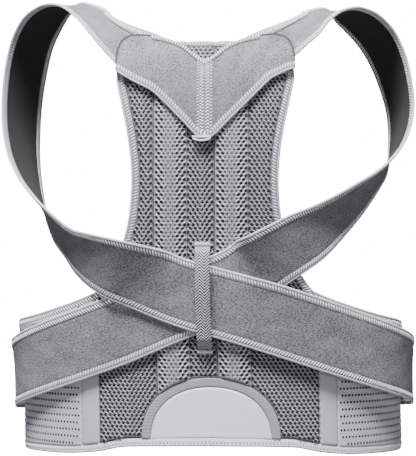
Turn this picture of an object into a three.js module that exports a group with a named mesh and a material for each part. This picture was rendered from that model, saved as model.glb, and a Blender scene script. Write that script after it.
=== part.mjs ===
// A posture corrector: a curved mesh back panel with a waist belt, a two-winged yoke at the top,
// and two wide straps that run over the shoulders, under the arms and cross on the back.
// Millimetres, Z up. The wearer faces +Y, so the back panel is on the -Y side.
// The origin is on the axis of the trunk, at the waistline.
import * as THREE from 'three';

// Overall sizes of the body that the brace is shaped to, heights measured up from the hem
const HEIGHT = 430;
const WAIST_LEVEL = 65;
const SHOULDER_HALF = 210;
const WAIST_HALF = 187;
const BACK_DEPTH = 110;
const FRONT_DEPTH = 112;
const PLAN_POWER = 2.35;

// Cloth thicknesses and the clearance that is left between two layers
const PANEL_WALL = 3;
const POCKET_RISE = 2.4;
const FELT_WALL = 2.2;
const BELT_WALL = 2.6;
const FRONT_WALL = 2.2;
const PATCH_WALL = 1.6;
const TAPE_WALL = 2.8;
const WEBBING_WALL = 1.2;
const HOOK_WALL = 1.2;
const LAYER_GAP = 0.5;
const WING_GAP = 0.8;
const SEAM_GAP = 0.4;
const TAPE_GAP = 0.7;

// Widths in the plane of the cloth
const TAPE_WIDTH = 7;
const HEM_TAPE = 7;
const STRAP_WIDTH = 65;
const PANEL_HALF = 105;
const PANEL_TOP = 386;
const PANEL_TAPE_END = 150;
const POCKET_GAP = 27;
const POCKET_WIDTH = 31;
const POCKET_SHIFT = -3.5;
const WING_LENGTH = 84.5;
const YOKE_HEIGHT = 100;
const YOKE_TIP = 292;
const POCKET_TUCK = 9;
const TAB_WIDTH = 18;
const TAB_DROP = 5;
const TAB_TUCK = 7;
const TAB_WALL = 1.6;
const KEEPER_WIDTH = 14;
const KEEPER_TOP = 189;
const KEEPER_BOTTOM = 92;
const KEEPER_SHIFT = -2;
const TACK_LENGTH = 4;
const PATCH_WIDTH = 132;
const PATCH_HEIGHT = 57;
const PATCH_LIP = 3;
const PATCH_POWER = 2.2;
const PATCH_BORDER = 8.5;
const PATCH_SHIFT = 2;
const STRIP_WIDTH = 18;
const BELT_SIDE_HEIGHT = 122;
const ELASTIC_LENGTH = 190;
const FRONT_OVERLAP = 38;
const HOOK_WIDTH = 58;
const STRAP_REACH = 385;
const STRAP_SLACK = 3;
const PAD_LENGTH = 55;
const PAD_MARGIN = 14;
const LAP_START = 40;
const LAP_END = 6;
const FRONT_CORNER = 22;
const HOOK_MARGIN = 4;

// Where a strap's slack begins and ends, and where it comes down onto its pad, as shares of
// STRAP_REACH
const SLACK_FROM = 0.3;
const SLACK_TO = 0.5;
const LANDING_FROM = 0.62;
const LANDING_TO = 0.82;

// The trunk, a row per section: height, half-width, depth behind, depth in front, sideways lean.
// Heights are shares of HEIGHT, the others shares of the waist half-width and the two depths.
const TRUNK = [
  [0.00, 1.000, 1.01, 1.00, 0.022],
  [0.15, 1.000, 0.98, 1.00, 0.016],
  [0.30, 1.015, 0.99, 0.98, 0.004],
  [0.45, 0.930, 1.03, 0.98, 0.000],
  [0.65, 0.960, 1.06, 0.98, 0.000],
  [0.79, 1.000, 1.01, 0.94, 0.000],
  [0.845, 1.020, 0.93, 0.90, 0.000],
  [0.90, 1.030, 0.77, 0.85, 0.000],
  [0.935, 1.030, 0.64, 0.80, 0.000],
  [1.00, 1.020, 0.42, 0.72, 0.000],
];

// Outline of the back panel: height as a share of PANEL_TOP, half-width as a share of PANEL_HALF
const PANEL_OUTLINE = [
  [0.000, 1.00],
  [0.300, 1.00],
  [0.350, 0.998],
  [0.378, 0.98],
  [0.405, 0.91],
  [0.450, 0.81],
  [0.510, 0.74],
  [0.560, 0.695],
  [0.610, 0.675],
  [0.660, 0.668],
  [0.715, 0.68],
  [0.790, 0.722],
  [0.850, 0.77],
  [0.917, 0.81],
  [1.000, 0.74],
];

// Edges of the belt: distance round from the back, hem height, top height.
// The distance is a share of the half girth, the heights are shares of BELT_SIDE_HEIGHT.
const BELT_EDGES = [
  [0.00, 0.000, 1.32],
  [0.16, -0.015, 1.30],
  [0.22, -0.060, 1.19],
  [0.28, -0.085, 1.10],
  [0.36, -0.095, 1.01],
  [0.45, -0.105, 0.95],
  [0.55, -0.105, 0.89],
  [0.75, -0.090, 0.87],
  [1.00, -0.065, 0.86],
  [1.10, -0.065, 0.86],
];

// The yoke wings: distance out from the middle, top edge, bottom edge of the left wing and of
// the right one, as shares of WING_LENGTH and, up from the tip, of YOKE_HEIGHT
const WING = [
  [0.00, 0.730, -0.020, -0.020],
  [0.10, 0.790, 0.022, 0.015],
  [0.26, 0.900, 0.163, 0.150],
  [0.45, 0.968, 0.328, 0.310],
  [0.60, 0.996, 0.445, 0.437],
  [0.74, 1.003, 0.508, 0.555],
  [0.86, 0.995, 0.562, 0.612],
  [0.94, 0.950, 0.604, 0.645],
  [0.98, 0.880, 0.625, 0.657],
  [1.00, 0.790, 0.637, 0.660],
];

// Each strap from the yoke to where it meets the back again, a row per section: the middle's
// x, y and z as shares of SHOULDER_HALF, BACK_DEPTH and HEIGHT, the direction across the strap
// towards its outer edge, and how far the section lies pressed to the back (0 free, 1 pressed)
const LEFT_LOOP = [
  [-0.250, -0.910, 0.855, -0.78, -0.35, -0.52, 1.0],
  [-0.356, -0.800, 0.888, -0.53, -0.63, -0.57, 1.0],
  [-0.439, -0.640, 0.923, -0.35, -0.78, -0.52, 0.4],
  [-0.518, -0.455, 0.958, -0.19, -0.87, -0.44, 0.0],
  [-0.614, -0.255, 0.990, -0.06, -0.95, -0.31, 0.0],
  [-0.682, -0.073, 1.002, -0.18, -0.98, -0.08, 0.0],
  [-0.755, 0.073, 0.992, -0.34, -0.94, 0.08, 0.0],
  [-0.821, 0.182, 0.964, -0.49, -0.86, 0.12, 0.0],
  [-0.870, 0.255, 0.922, -0.53, -0.84, 0.12, 0.0],
  [-0.903, 0.300, 0.864, -0.55, -0.83, 0.09, 0.0],
  [-0.924, 0.318, 0.794, -0.53, -0.84, 0.03, 0.0],
  [-0.928, 0.300, 0.724, -0.49, -0.87, 0.00, 0.0],
  [-0.911, 0.227, 0.655, -0.39, -0.92, 0.00, 0.0],
  [-0.872, 0.109, 0.595, -0.24, -0.97, 0.05, 0.0],
  [-0.823, -0.045, 0.548, -0.08, -0.98, 0.14, 0.0],
  [-0.770, -0.227, 0.508, 0.06, -0.96, 0.26, 0.0],
  [-0.708, -0.420, 0.473, 0.17, -0.92, 0.34, 0.0],
  [-0.639, -0.650, 0.446, 0.20, -0.88, 0.43, 0.0],
  [-0.549, -0.930, 0.420, 0.28, -0.72, 0.63, 0.0],
  [-0.408, -1.150, 0.391, 0.36, -0.47, 0.81, 0.1],
  [-0.263, -1.150, 0.368, 0.34, -0.30, 0.89, 0.4],
];
const RIGHT_LOOP = [
  [0.255, -0.910, 0.858, 0.80, -0.35, -0.48, 1.0],
  [0.344, -0.800, 0.893, 0.53, -0.66, -0.53, 1.0],
  [0.423, -0.640, 0.926, 0.36, -0.79, -0.49, 0.4],
  [0.495, -0.455, 0.953, 0.21, -0.88, -0.43, 0.0],
  [0.560, -0.255, 0.976, 0.08, -0.95, -0.30, 0.0],
  [0.614, -0.073, 0.987, 0.20, -0.98, -0.07, 0.0],
  [0.677, 0.073, 0.981, 0.33, -0.93, 0.15, 0.0],
  [0.751, 0.182, 0.961, 0.41, -0.87, 0.24, 0.0],
  [0.819, 0.255, 0.927, 0.46, -0.85, 0.24, 0.0],
  [0.872, 0.300, 0.879, 0.47, -0.87, 0.18, 0.0],
  [0.910, 0.318, 0.820, 0.43, -0.90, 0.11, 0.0],
  [0.929, 0.300, 0.764, 0.37, -0.93, 0.05, 0.0],
  [0.923, 0.227, 0.714, 0.28, -0.96, 0.02, 0.0],
  [0.899, 0.109, 0.670, 0.15, -0.99, 0.02, 0.0],
  [0.865, -0.045, 0.636, -0.02, -1.00, 0.03, 0.0],
  [0.822, -0.210, 0.606, -0.19, -0.98, 0.06, 0.0],
  [0.752, -0.390, 0.573, -0.32, -0.93, 0.15, 0.0],
  [0.668, -0.564, 0.536, -0.42, -0.86, 0.28, 0.0],
  [0.565, -0.780, 0.497, -0.50, -0.74, 0.44, 0.0],
  [0.444, -1.000, 0.457, -0.57, -0.52, 0.62, 0.0],
  [0.299, -1.145, 0.414, -0.56, -0.46, 0.70, 0.3],
];

// The rest of each strap, round the waist to its free end: distance round from the middle of
// the back as a share of STRAP_REACH, the height of its middle as a share of HEIGHT, and how far
// its upper edge stands off, in millimetres: the left strap rides over the right one's edge
const LEFT_WRAP = [
  [-0.052, 0.339, 0],
  [0.025, 0.317, 0],
  [0.109, 0.293, 4.5],
  [0.208, 0.262, 2],
  [0.317, 0.227, 0],
  [0.423, 0.194, 0],
  [0.519, 0.168, 0],
  [0.623, 0.146, 0],
  [0.780, 0.130, 0],
  [1.000, 0.125, 0],
];
const RIGHT_WRAP = [
  [-0.055, 0.358, 0],
  [0.032, 0.323, 0],
  [0.120, 0.289, 0],
  [0.210, 0.253, 0],
  [0.314, 0.218, 0],
  [0.410, 0.187, 0],
  [0.506, 0.159, 0],
  [0.610, 0.136, 0],
  [0.780, 0.121, 0],
  [1.000, 0.116, 0],
];

// The keeper from its upper to its lower end: distance along it, and how far it has risen
// from the panel to the top of the crossed straps
const KEEPER_PATH = [
  [0.00, 0.00],
  [0.02, 0.50],
  [0.05, 1.00],
  [0.20, 1.00],
  [0.50, 1.00],
  [0.80, 1.00],
  [0.90, 1.00],
  [0.96, 0.45],
  [1.00, 0.00],
];

// Where each layer's middle lies, measured out from the trunk
const PANEL_MIDDLE = PANEL_WALL / 2;
const POCKET_BASE = PANEL_WALL + LAYER_GAP;
const STRAP_END_MIDDLE = PANEL_WALL + LAYER_GAP + TAPE_WALL / 2;
const WING_MIDDLE = STRAP_END_MIDDLE + TAPE_WALL + WING_GAP;
const LOWER_STRAP_MIDDLE = POCKET_BASE + POCKET_RISE + LAYER_GAP + TAPE_WALL / 2;
const UPPER_STRAP_MIDDLE = LOWER_STRAP_MIDDLE + TAPE_WALL + LAYER_GAP;
const KEEPER_LOW = PANEL_WALL + LAYER_GAP + WEBBING_WALL / 2;
const KEEPER_HIGH = UPPER_STRAP_MIDDLE + TAPE_WALL / 2 + LAYER_GAP + WEBBING_WALL / 2;

// How finely the cloth is divided
const STRAP_STEPS = 46;
const STRAP_COLUMNS = 3;
const PANEL_ROWS = 30;
const PANEL_COLUMNS = 14;
const POCKET_COLUMNS = 6;
const POCKET_ROWS = 16;
const WING_COLUMNS = 14;
const WING_ROWS = 4;
const TAPE_STEPS = 24;
const HEM_STEPS = 56;
const ELASTIC_STEPS = 14;
const FRONT_STEPS = 14;
const BELT_ROWS = 4;
const PATCH_STEPS = 14;
const POCKET_EDGE = 0.8;

// Each strap's felt is built in three stretches, end to end: a name, and the steps along the
// strap at which it starts and ends
const STRETCHES = [
  ['shoulder', 0, 14],
  ['underarm', 14, 27],
  ['waist', 27, STRAP_STEPS],
];

const COLOURS = {
  mesh: { color: 0xb4b6bb, roughness: 0.85 },
  felt: { color: 0x8e8f95, roughness: 0.95 },
  tape: { color: 0xd0d2d7, roughness: 0.8 },
  webbing: { color: 0x9fa1a7, roughness: 0.75 },
  elastic: { color: 0xb7b8be, roughness: 0.8 },
  cloth: { color: 0xa3a5ab, roughness: 0.9 },
  patch: { color: 0xcdd3d6, roughness: 0.55 },
  hook: { color: 0x37383b, roughness: 0.95 },
};

// Reads one column of a table at a key that may lie between two rows
function lookUp(rows, key, column) {
  const last = rows.length - 1;
  const held = Math.min(Math.max(key, rows[0][0]), rows[last][0]);
  let i = 0;
  while (i < last - 1 && rows[i + 1][0] < held) i += 1;
  const slopeAt = (k) => {
    const before = rows[Math.max(k - 1, 0)];
    const after = rows[Math.min(k + 1, last)];
    return (after[column] - before[column]) / (after[0] - before[0]);
  };
  const span = rows[i + 1][0] - rows[i][0];
  const t = (held - rows[i][0]) / span;
  const rise = 3 * t * t - 2 * t * t * t;
  const start = t * t * t - 2 * t * t + t;
  const end = t * t * t - t * t;
  const between = THREE.MathUtils.lerp(rows[i][column], rows[i + 1][column], rise);
  return between + span * (start * slopeAt(i) + end * slopeAt(i + 1));
}

// The trunk's section at a height. Its spread is how much further a layer lies out level with
// the ground than square to the sloping back.
function trunkAt(z) {
  const share = z / HEIGHT;
  const step = 0.01;
  const change = lookUp(TRUNK, share + step, 2) - lookUp(TRUNK, share - step, 2);
  const slope = (BACK_DEPTH * change) / (2 * step * HEIGHT);
  return {
    half: WAIST_HALF * lookUp(TRUNK, share, 1),
    back: BACK_DEPTH * lookUp(TRUNK, share, 2),
    front: FRONT_DEPTH * lookUp(TRUNK, share, 3),
    lean: WAIST_HALF * lookUp(TRUNK, share, 4),
    spread: Math.hypot(1, slope),
  };
}

// A point off the trunk, by its direction round the body: 0 is straight back, positive to the right
function pointRound(angle, z, off) {
  const trunk = trunkAt(z);
  const depth = (Math.cos(angle) > 0 ? trunk.back + off * trunk.spread : trunk.front + off);
  const across = Math.abs(Math.sin(angle)) / (trunk.half + off);
  const along = Math.abs(Math.cos(angle)) / depth;
  const radius = (across ** PLAN_POWER + along ** PLAN_POWER) ** (-1 / PLAN_POWER);
  return new THREE.Vector3(trunk.lean + radius * Math.sin(angle), -radius * Math.cos(angle), z);
}

function angleOf(point) {
  return Math.atan2(point.x - trunkAt(point.z).lean, -point.y);
}

// A point off the back, by its distance sideways from the middle
function backPoint(x, z, off) {
  const trunk = trunkAt(z);
  const share = Math.abs(x) / (trunk.half + off);
  const depth = trunk.back + off * trunk.spread;
  const y = -depth * (1 - share ** PLAN_POWER) ** (1 / PLAN_POWER);
  return new THREE.Vector3(trunk.lean + x, y, z);
}

// Distances round the belt, measured step by step at the belt's middle height
const BELT_LEVEL = BELT_SIDE_HEIGHT / 2;
const ROUND_STEP = THREE.MathUtils.degToRad(1);
const ROUND_ARCS = [0];
for (let i = 1; i <= 200; i += 1) {
  const before = pointRound((i - 1) * ROUND_STEP, BELT_LEVEL, 0);
  const here = pointRound(i * ROUND_STEP, BELT_LEVEL, 0);
  ROUND_ARCS.push(ROUND_ARCS[i - 1] + before.distanceTo(here));
}
const HALF_GIRTH = ROUND_ARCS[180];

function angleAt(arc) {
  const target = Math.abs(arc);
  let i = 0;
  while (i < ROUND_ARCS.length - 2 && ROUND_ARCS[i + 1] < target) i += 1;
  const share = (target - ROUND_ARCS[i]) / (ROUND_ARCS[i + 1] - ROUND_ARCS[i]);
  return Math.sign(arc) * (i + share) * ROUND_STEP;
}

function arcAt(angle) {
  const steps = angle / ROUND_STEP;
  const i = Math.min(Math.floor(steps), ROUND_ARCS.length - 2);
  return THREE.MathUtils.lerp(ROUND_ARCS[i], ROUND_ARCS[i + 1], steps - i);
}

function edgeAngle(z) {
  const trunk = trunkAt(z);
  const edge = backPoint(PANEL_HALF + SEAM_GAP, z, PANEL_MIDDLE);
  return Math.atan2(edge.x - trunk.lean, -edge.y);
}
const PANEL_ARC = arcAt(edgeAngle(BELT_LEVEL));

const hemHeight = (arc) => BELT_SIDE_HEIGHT * lookUp(BELT_EDGES, arc / HALF_GIRTH, 1);
const beltTop = (arc) => BELT_SIDE_HEIGHT * lookUp(BELT_EDGES, arc / HALF_GIRTH, 2);

// A point of the belt, by its distance round from the panel's edge on one side (-1 or 1)
function beltPoint(side, reach, z, off) {
  const turned = angleAt(PANEL_ARC + reach) - angleAt(PANEL_ARC);
  return pointRound(side * (edgeAngle(z) + turned), z, off);
}

// A grid of points, row by row, from a function of two shares
function grid(rows, columns, pointAt) {
  const points = [];
  for (let i = 0; i <= rows; i += 1) {
    const row = [];
    for (let j = 0; j <= columns; j += 1) row.push(pointAt(i / rows, j / columns));
    points.push(row);
  }
  return points;
}

// The same grid moved a distance along its normals
function moved(points, distance) {
  const lastRow = points.length - 1;
  const lastColumn = points[0].length - 1;
  return points.map((row, i) => row.map((point, j) => {
    const down = points[Math.min(i + 1, lastRow)][j].clone().sub(points[Math.max(i - 1, 0)][j]);
    const over = row[Math.min(j + 1, lastColumn)].clone().sub(row[Math.max(j - 1, 0)]);
    const normal = down.cross(over).normalize();
    return point.clone().addScaledVector(normal, distance);
  }));
}

// One closed body between two grids of the same size
function shell(first, second) {
  const rows = first.length;
  const columns = first[0].length;
  const positions = [...first.flat(), ...second.flat()].flatMap((p) => [p.x, p.y, p.z]);
  const at = (layer, i, j) => layer * rows * columns + i * columns + j;
  const index = [];
  const quad = (a, b, c, d) => index.push(a, b, c, a, c, d);
  for (let i = 0; i < rows - 1; i += 1) {
    for (let j = 0; j < columns - 1; j += 1) {
      quad(at(0, i, j), at(0, i + 1, j), at(0, i + 1, j + 1), at(0, i, j + 1));
      quad(at(1, i, j), at(1, i, j + 1), at(1, i + 1, j + 1), at(1, i + 1, j));
    }
  }
  for (let i = 0; i < rows - 1; i += 1) {
    quad(at(0, i + 1, 0), at(0, i, 0), at(1, i, 0), at(1, i + 1, 0));
    quad(at(0, i, columns - 1), at(0, i + 1, columns - 1), at(1, i + 1, columns - 1), at(1, i, columns - 1));
  }
  for (let j = 0; j < columns - 1; j += 1) {
    quad(at(0, 0, j), at(0, 0, j + 1), at(1, 0, j + 1), at(1, 0, j));
    quad(at(0, rows - 1, j + 1), at(0, rows - 1, j), at(1, rows - 1, j), at(1, rows - 1, j + 1));
  }
  const geometry = new THREE.BufferGeometry();
  geometry.setAttribute('position', new THREE.Float32BufferAttribute(positions, 3));
  geometry.setIndex(volumeOf(positions, index) < 0 ? index.reverse() : index);
  geometry.computeVertexNormals();
  return geometry;
}

function volumeOf(positions, index) {
  const corner = (k) => new THREE.Vector3(...positions.slice(3 * k, 3 * k + 3));
  let volume = 0;
  for (let k = 0; k < index.length; k += 3) {
    const a = corner(index[k]);
    const b = corner(index[k + 1]);
    const c = corner(index[k + 2]);
    volume += a.dot(b.cross(c)) / 6;
  }
  return volume;
}

// A cloth of even thickness on both sides of a grid
const cloth = (points, wall) => shell(moved(points, -wall / 2), moved(points, wall / 2));

const brace = new THREE.Group();
brace.position.z = -WAIST_LEVEL;

function add(name, geometry, finish) {
  const material = new THREE.MeshStandardMaterial({ ...COLOURS[finish], metalness: 0 });
  const mesh = new THREE.Mesh(geometry, material);
  mesh.name = name;
  brace.add(mesh);
}

// The back panel: from the hem tape up to the shoulders, inset where a tape runs down its sides
const panelHalf = (z) => PANEL_HALF * lookUp(PANEL_OUTLINE, z / PANEL_TOP, 1);
function panelInset(z) {
  const full = PANEL_TAPE_END - PANEL_TOP / PANEL_ROWS;
  return (TAPE_WIDTH + TAPE_GAP) * THREE.MathUtils.smoothstep(z, full - TAPE_WIDTH, full);
}
const arcOf = (x) => arcAt(angleOf(backPoint(Math.abs(x), BELT_LEVEL, 0)));
const hemTop = (x) => hemHeight(arcOf(x)) + HEM_TAPE + TAPE_GAP;

function buildPanel() {
  const points = grid(PANEL_ROWS, PANEL_COLUMNS, (v, u) => {
    const side = 2 * u - 1;
    const z = THREE.MathUtils.lerp(hemTop(side * PANEL_HALF), PANEL_TOP, v);
    return backPoint(side * (panelHalf(z) - panelInset(z)), z, PANEL_MIDDLE);
  });
  add('back_panel', cloth(points, PANEL_WALL), 'mesh');
}

function buildPanelTape(side, name) {
  const points = grid(TAPE_STEPS, 1, (v, u) => {
    const z = THREE.MathUtils.lerp(PANEL_TAPE_END, PANEL_TOP, v);
    return backPoint(side * (panelHalf(z) - u * TAPE_WIDTH), z, PANEL_MIDDLE);
  });
  add(name, cloth(points, TAPE_WALL), 'tape');
}

// The yoke's edges, heights by distance from the middle, negative to the left
const wingTop = (x) => YOKE_TIP + YOKE_HEIGHT * lookUp(WING, Math.abs(x) / WING_LENGTH, 1);
function wingBottom(x) {
  return YOKE_TIP + YOKE_HEIGHT * lookUp(WING, Math.abs(x) / WING_LENGTH, x < 0 ? 2 : 3);
}

// Height of a line that runs along a wing's bottom edge at a distance measured square to it
function besideBottom(x, distance) {
  const slope = (wingBottom(x + 1) - wingBottom(x - 1)) / 2;
  return wingBottom(x) + distance * Math.hypot(1, slope);
}

// The patch's rounded outline: height of a D shape by distance from its middle
function patchTop(x, inset) {
  const share = Math.min(Math.abs(x - PATCH_SHIFT) / (PATCH_WIDTH / 2 - inset), 1);
  return (PATCH_HEIGHT - inset) * (1 - share ** PATCH_POWER) ** (1 / PATCH_POWER);
}

// A stay pocket: padded, highest along its middle, tucked under the wing above and cut to the
// patch's curve below
function buildPocket(side, name) {
  const near = POCKET_SHIFT + side * (POCKET_GAP / 2);
  const foot = (x) => hemTop(x) + patchTop(x, 0) + LAYER_GAP;
  const spot = (v, u) => {
    const x = near + side * u * POCKET_WIDTH;
    return [x, THREE.MathUtils.lerp(foot(x), besideBottom(x, POCKET_TUCK), v)];
  };
  const inner = grid(POCKET_ROWS, POCKET_COLUMNS, (v, u) => {
    const [x, z] = spot(v, u);
    return backPoint(x, z, POCKET_BASE);
  });
  const outer = grid(POCKET_ROWS, POCKET_COLUMNS, (v, u) => {
    const [x, z] = spot(v, u);
    const crown = Math.sqrt(1 - (2 * u - 1) ** 2);
    const rise = THREE.MathUtils.lerp(POCKET_EDGE, POCKET_RISE, crown);
    return backPoint(x, z, POCKET_BASE + rise);
  });
  add(name, shell(inner, outer), 'mesh');
}

// A wing of the yoke, its centre tape and the tape along its bottom edge
function buildWing(side, name) {
  const start = SEAM_GAP / 2 + TAPE_WIDTH + SEAM_GAP;
  const outward = (u) => THREE.MathUtils.lerp(start, WING_LENGTH, Math.sin(u * Math.PI / 2));
  const felt = grid(WING_ROWS, WING_COLUMNS, (v, u) => {
    const x = side * outward(u);
    const low = besideBottom(x, TAPE_WIDTH + SEAM_GAP);
    return backPoint(x, THREE.MathUtils.lerp(low, wingTop(x), v), WING_MIDDLE);
  });
  add(`yoke_wing_${name}`, cloth(felt, FELT_WALL), 'felt');

  const edge = grid(TAPE_STEPS, 1, (u, v) => {
    const x = side * THREE.MathUtils.lerp(SEAM_GAP / 2, WING_LENGTH, u);
    return backPoint(x, besideBottom(x, v * TAPE_WIDTH), WING_MIDDLE);
  });
  add(`yoke_edge_tape_${name}`, cloth(edge, TAPE_WALL), 'tape');

  const middle = grid(TAPE_STEPS / 3, 1, (v, u) => {
    const x = side * (SEAM_GAP / 2 + u * TAPE_WIDTH);
    const low = besideBottom(x, TAPE_WIDTH + SEAM_GAP);
    return backPoint(x, THREE.MathUtils.lerp(low, wingTop(x), v), WING_MIDDLE);
  });
  add(`yoke_centre_tape_${name}`, cloth(middle, TAPE_WALL), 'tape');
}

// The folded tab that peeks out below the yoke's tip
function buildTipTab() {
  const points = grid(3, 8, (v, u) => {
    const x = (u - 0.5) * TAB_WIDTH;
    const low = YOKE_TIP - TAB_DROP * Math.sqrt(1 - 0.95 * (2 * u - 1) ** 2);
    const z = THREE.MathUtils.lerp(low, YOKE_TIP + TAB_TUCK, v);
    return backPoint(x, z, PANEL_WALL + LAYER_GAP + TAB_WALL / 2);
  });
  add('yoke_tip_tab', cloth(points, TAB_WALL), 'tape');
}

// How far out a strap's middle lies where it goes round the waist: it leaves the crossing,
// stands a little slack over the belt's sides and comes down onto its hook pad at the front
const STRAP_PAD_MIDDLE = BELT_WALL + HOOK_WALL + 2 * LAYER_GAP + TAPE_WALL / 2;
function wrapOffset(arc, middle) {
  const share = arc / STRAP_REACH;
  const slack = STRAP_SLACK * THREE.MathUtils.smoothstep(share, SLACK_FROM, SLACK_TO);
  const landed = THREE.MathUtils.smoothstep(share, LANDING_FROM, LANDING_TO);
  return THREE.MathUtils.lerp(middle + slack, STRAP_PAD_MIDDLE, landed);
}

// The sections of a strap as smooth curves: its middle, the direction across it, and its grip
// (how far it is pressed to the back, how far out from the trunk, and how far its edge stands off)
function strapCurves(loop, wrap, side, middle) {
  const middles = [];
  const acrosses = [];
  const grips = [];
  loop.forEach(([x, y, z, acrossX, acrossY, acrossZ, pressed], i) => {
    middles.push(new THREE.Vector3(x * SHOULDER_HALF, y * BACK_DEPTH, z * HEIGHT));
    acrosses.push(new THREE.Vector3(acrossX, acrossY, acrossZ).normalize());
    grips.push(new THREE.Vector3(pressed, i < loop.length / 2 ? STRAP_END_MIDDLE : middle, 0));
  });
  const wrapPoint = (arc, z, extra) => {
    return pointRound(side * angleAt(arc), z, wrapOffset(arc, middle) + extra);
  };
  wrap.forEach(([reach, height, standing]) => {
    const arc = reach * STRAP_REACH;
    const z = height * HEIGHT;
    const here = wrapPoint(arc, z, 0);
    const slope = lookUp(wrap, reach + 0.01, 1) - lookUp(wrap, reach - 0.01, 1);
    const ahead = wrapPoint(arc + 0.02 * STRAP_REACH, z + slope * HEIGHT, 0).sub(here);
    const outward = wrapPoint(arc, z, 1).sub(here);
    const across = outward.cross(ahead).normalize();
    middles.push(here);
    acrosses.push(across.z < 0 ? across.negate() : across);
    grips.push(new THREE.Vector3(1, wrapOffset(arc, middle), standing));
  });
  return [middles, acrosses, grips].map((points) => new THREE.CatmullRomCurve3(points));
}

// A band along a strap between two distances from its middle line, from a start to an end share
function strapBand([middles, acrosses, grips], from, to, columns, steps, first, last) {
  return grid(steps, columns, (v, u) => {
    const t = middles.getUtoTmapping(THREE.MathUtils.lerp(first, last, v));
    const across = acrosses.getPoint(t).normalize();
    const distance = THREE.MathUtils.lerp(from, to, u);
    const point = middles.getPoint(t).addScaledVector(across, distance);
    const grip = grips.getPoint(t);
    const standing = Math.max(grip.z, 0) * (0.5 + distance / STRAP_WIDTH) ** 2;
    const pressed = pointRound(angleOf(point), point.z, grip.y + standing);
    return point.lerp(pressed, THREE.MathUtils.clamp(grip.x, 0, 1));
  });
}

function buildStrap(name, loop, wrap, side, middle) {
  const curves = strapCurves(loop, wrap, side, middle);
  const edge = STRAP_WIDTH / 2;
  const felt = edge - TAPE_WIDTH - TAPE_GAP;
  const gap = SEAM_GAP / curves[0].getLength();
  STRETCHES.forEach(([part, from, to]) => {
    const end = to < STRAP_STEPS ? to / STRAP_STEPS - gap : 1;
    const core = strapBand(curves, -felt, felt, STRAP_COLUMNS, to - from, from / STRAP_STEPS, end);
    add(`strap_${part}_${name}`, cloth(core, FELT_WALL), 'felt');
  });
  const outer = strapBand(curves, edge - TAPE_WIDTH, edge, 1, STRAP_STEPS, 0, 1);
  add(`strap_outer_tape_${name}`, cloth(outer, TAPE_WALL), 'tape');
  const inner = strapBand(curves, -edge, TAPE_WIDTH - edge, 1, STRAP_STEPS, 0, 1);
  add(`strap_inner_tape_${name}`, cloth(inner, TAPE_WALL), 'tape');
}

// The hook pad under a strap's free end
function buildStrapPad(name, wrap, side) {
  const pad = grid(5, 2, (u, v) => {
    const arc = STRAP_REACH - PAD_LENGTH * (1 - u) - TAPE_WIDTH;
    const middle = HEIGHT * lookUp(wrap, arc / STRAP_REACH, 1);
    const z = middle + (v - 0.5) * (STRAP_WIDTH - 2 * PAD_MARGIN);
    return pointRound(side * angleAt(arc), z, BELT_WALL + LAYER_GAP + HOOK_WALL / 2);
  });
  add(name, cloth(pad, HOOK_WALL), 'hook');
}

// The keeper: a webbing band over the crossing, sewn to the panel by a bar tack at each end
function buildKeeper() {
  const band = grid(18, 2, (v, u) => {
    const x = KEEPER_SHIFT + (u - 0.5) * KEEPER_WIDTH;
    const z = THREE.MathUtils.lerp(KEEPER_TOP, KEEPER_BOTTOM, v);
    const risen = THREE.MathUtils.clamp(lookUp(KEEPER_PATH, v, 1), 0, 1);
    return backPoint(x, z, THREE.MathUtils.lerp(KEEPER_LOW, KEEPER_HIGH, risen));
  });
  add('keeper_webbing', cloth(band, WEBBING_WALL), 'webbing');
  const tack = (name, low) => {
    const points = grid(1, 2, (v, u) => {
      const x = KEEPER_SHIFT + (u - 0.5) * KEEPER_WIDTH;
      return backPoint(x, low + v * TACK_LENGTH, KEEPER_LOW);
    });
    add(name, cloth(points, WEBBING_WALL), 'tape');
  };
  tack('keeper_tack_top', KEEPER_TOP + TAPE_GAP);
  tack('keeper_tack_bottom', KEEPER_BOTTOM - TAPE_GAP - TACK_LENGTH);
}

// The bare lumbar patch and the border sewn round its curve
function buildPatch() {
  const off = PANEL_WALL + LAYER_GAP + PATCH_WALL / 2;
  const inset = PATCH_BORDER + SEAM_GAP;
  const plate = grid(PATCH_STEPS, 6, (u, v) => {
    const x = PATCH_SHIFT - (PATCH_WIDTH / 2 - inset) * Math.cos(u * Math.PI);
    const height = Math.max(patchTop(x, inset), PATCH_LIP);
    return backPoint(x, hemTop(x) + v * height, off);
  });
  add('lumbar_patch', cloth(plate, PATCH_WALL), 'patch');
  const border = grid(2 * PATCH_STEPS, 1, (u, v) => {
    const turn = u * Math.PI;
    const across = -Math.sign(Math.cos(turn)) * Math.abs(Math.cos(turn)) ** (2 / PATCH_POWER);
    const up = Math.abs(Math.sin(turn)) ** (2 / PATCH_POWER);
    const x = PATCH_SHIFT + across * (PATCH_WIDTH / 2 - v * PATCH_BORDER);
    return backPoint(x, hemTop(x) + up * (PATCH_HEIGHT - v * PATCH_BORDER), off);
  });
  add('patch_border', cloth(border, PATCH_WALL), 'cloth');
}

// How far round from the panel's edge each piece of the belt reaches
const ELASTIC_START = STRIP_WIDTH + SEAM_GAP;
const ELASTIC_END = ELASTIC_START + ELASTIC_LENGTH;
const FRONT_START = ELASTIC_END + SEAM_GAP;
const FRONT_END = HALF_GIRTH - PANEL_ARC + FRONT_OVERLAP / 2;
const BELT_MIDDLE = BELT_WALL / 2;
const OVER_MIDDLE = BELT_MIDDLE + FRONT_WALL + HOOK_WALL + 2 * LAYER_GAP;

// One stretch of the belt between two distances round, and between two edges up it
function beltStretch(side, from, to, steps, lowEdge, topEdge, off) {
  return grid(steps, BELT_ROWS, (u, v) => {
    const reach = THREE.MathUtils.lerp(from, to, u);
    const low = lowEdge(PANEL_ARC + reach);
    const top = topEdge(PANEL_ARC + reach);
    return beltPoint(side, reach, THREE.MathUtils.lerp(low, top, v), off);
  });
}

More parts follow.
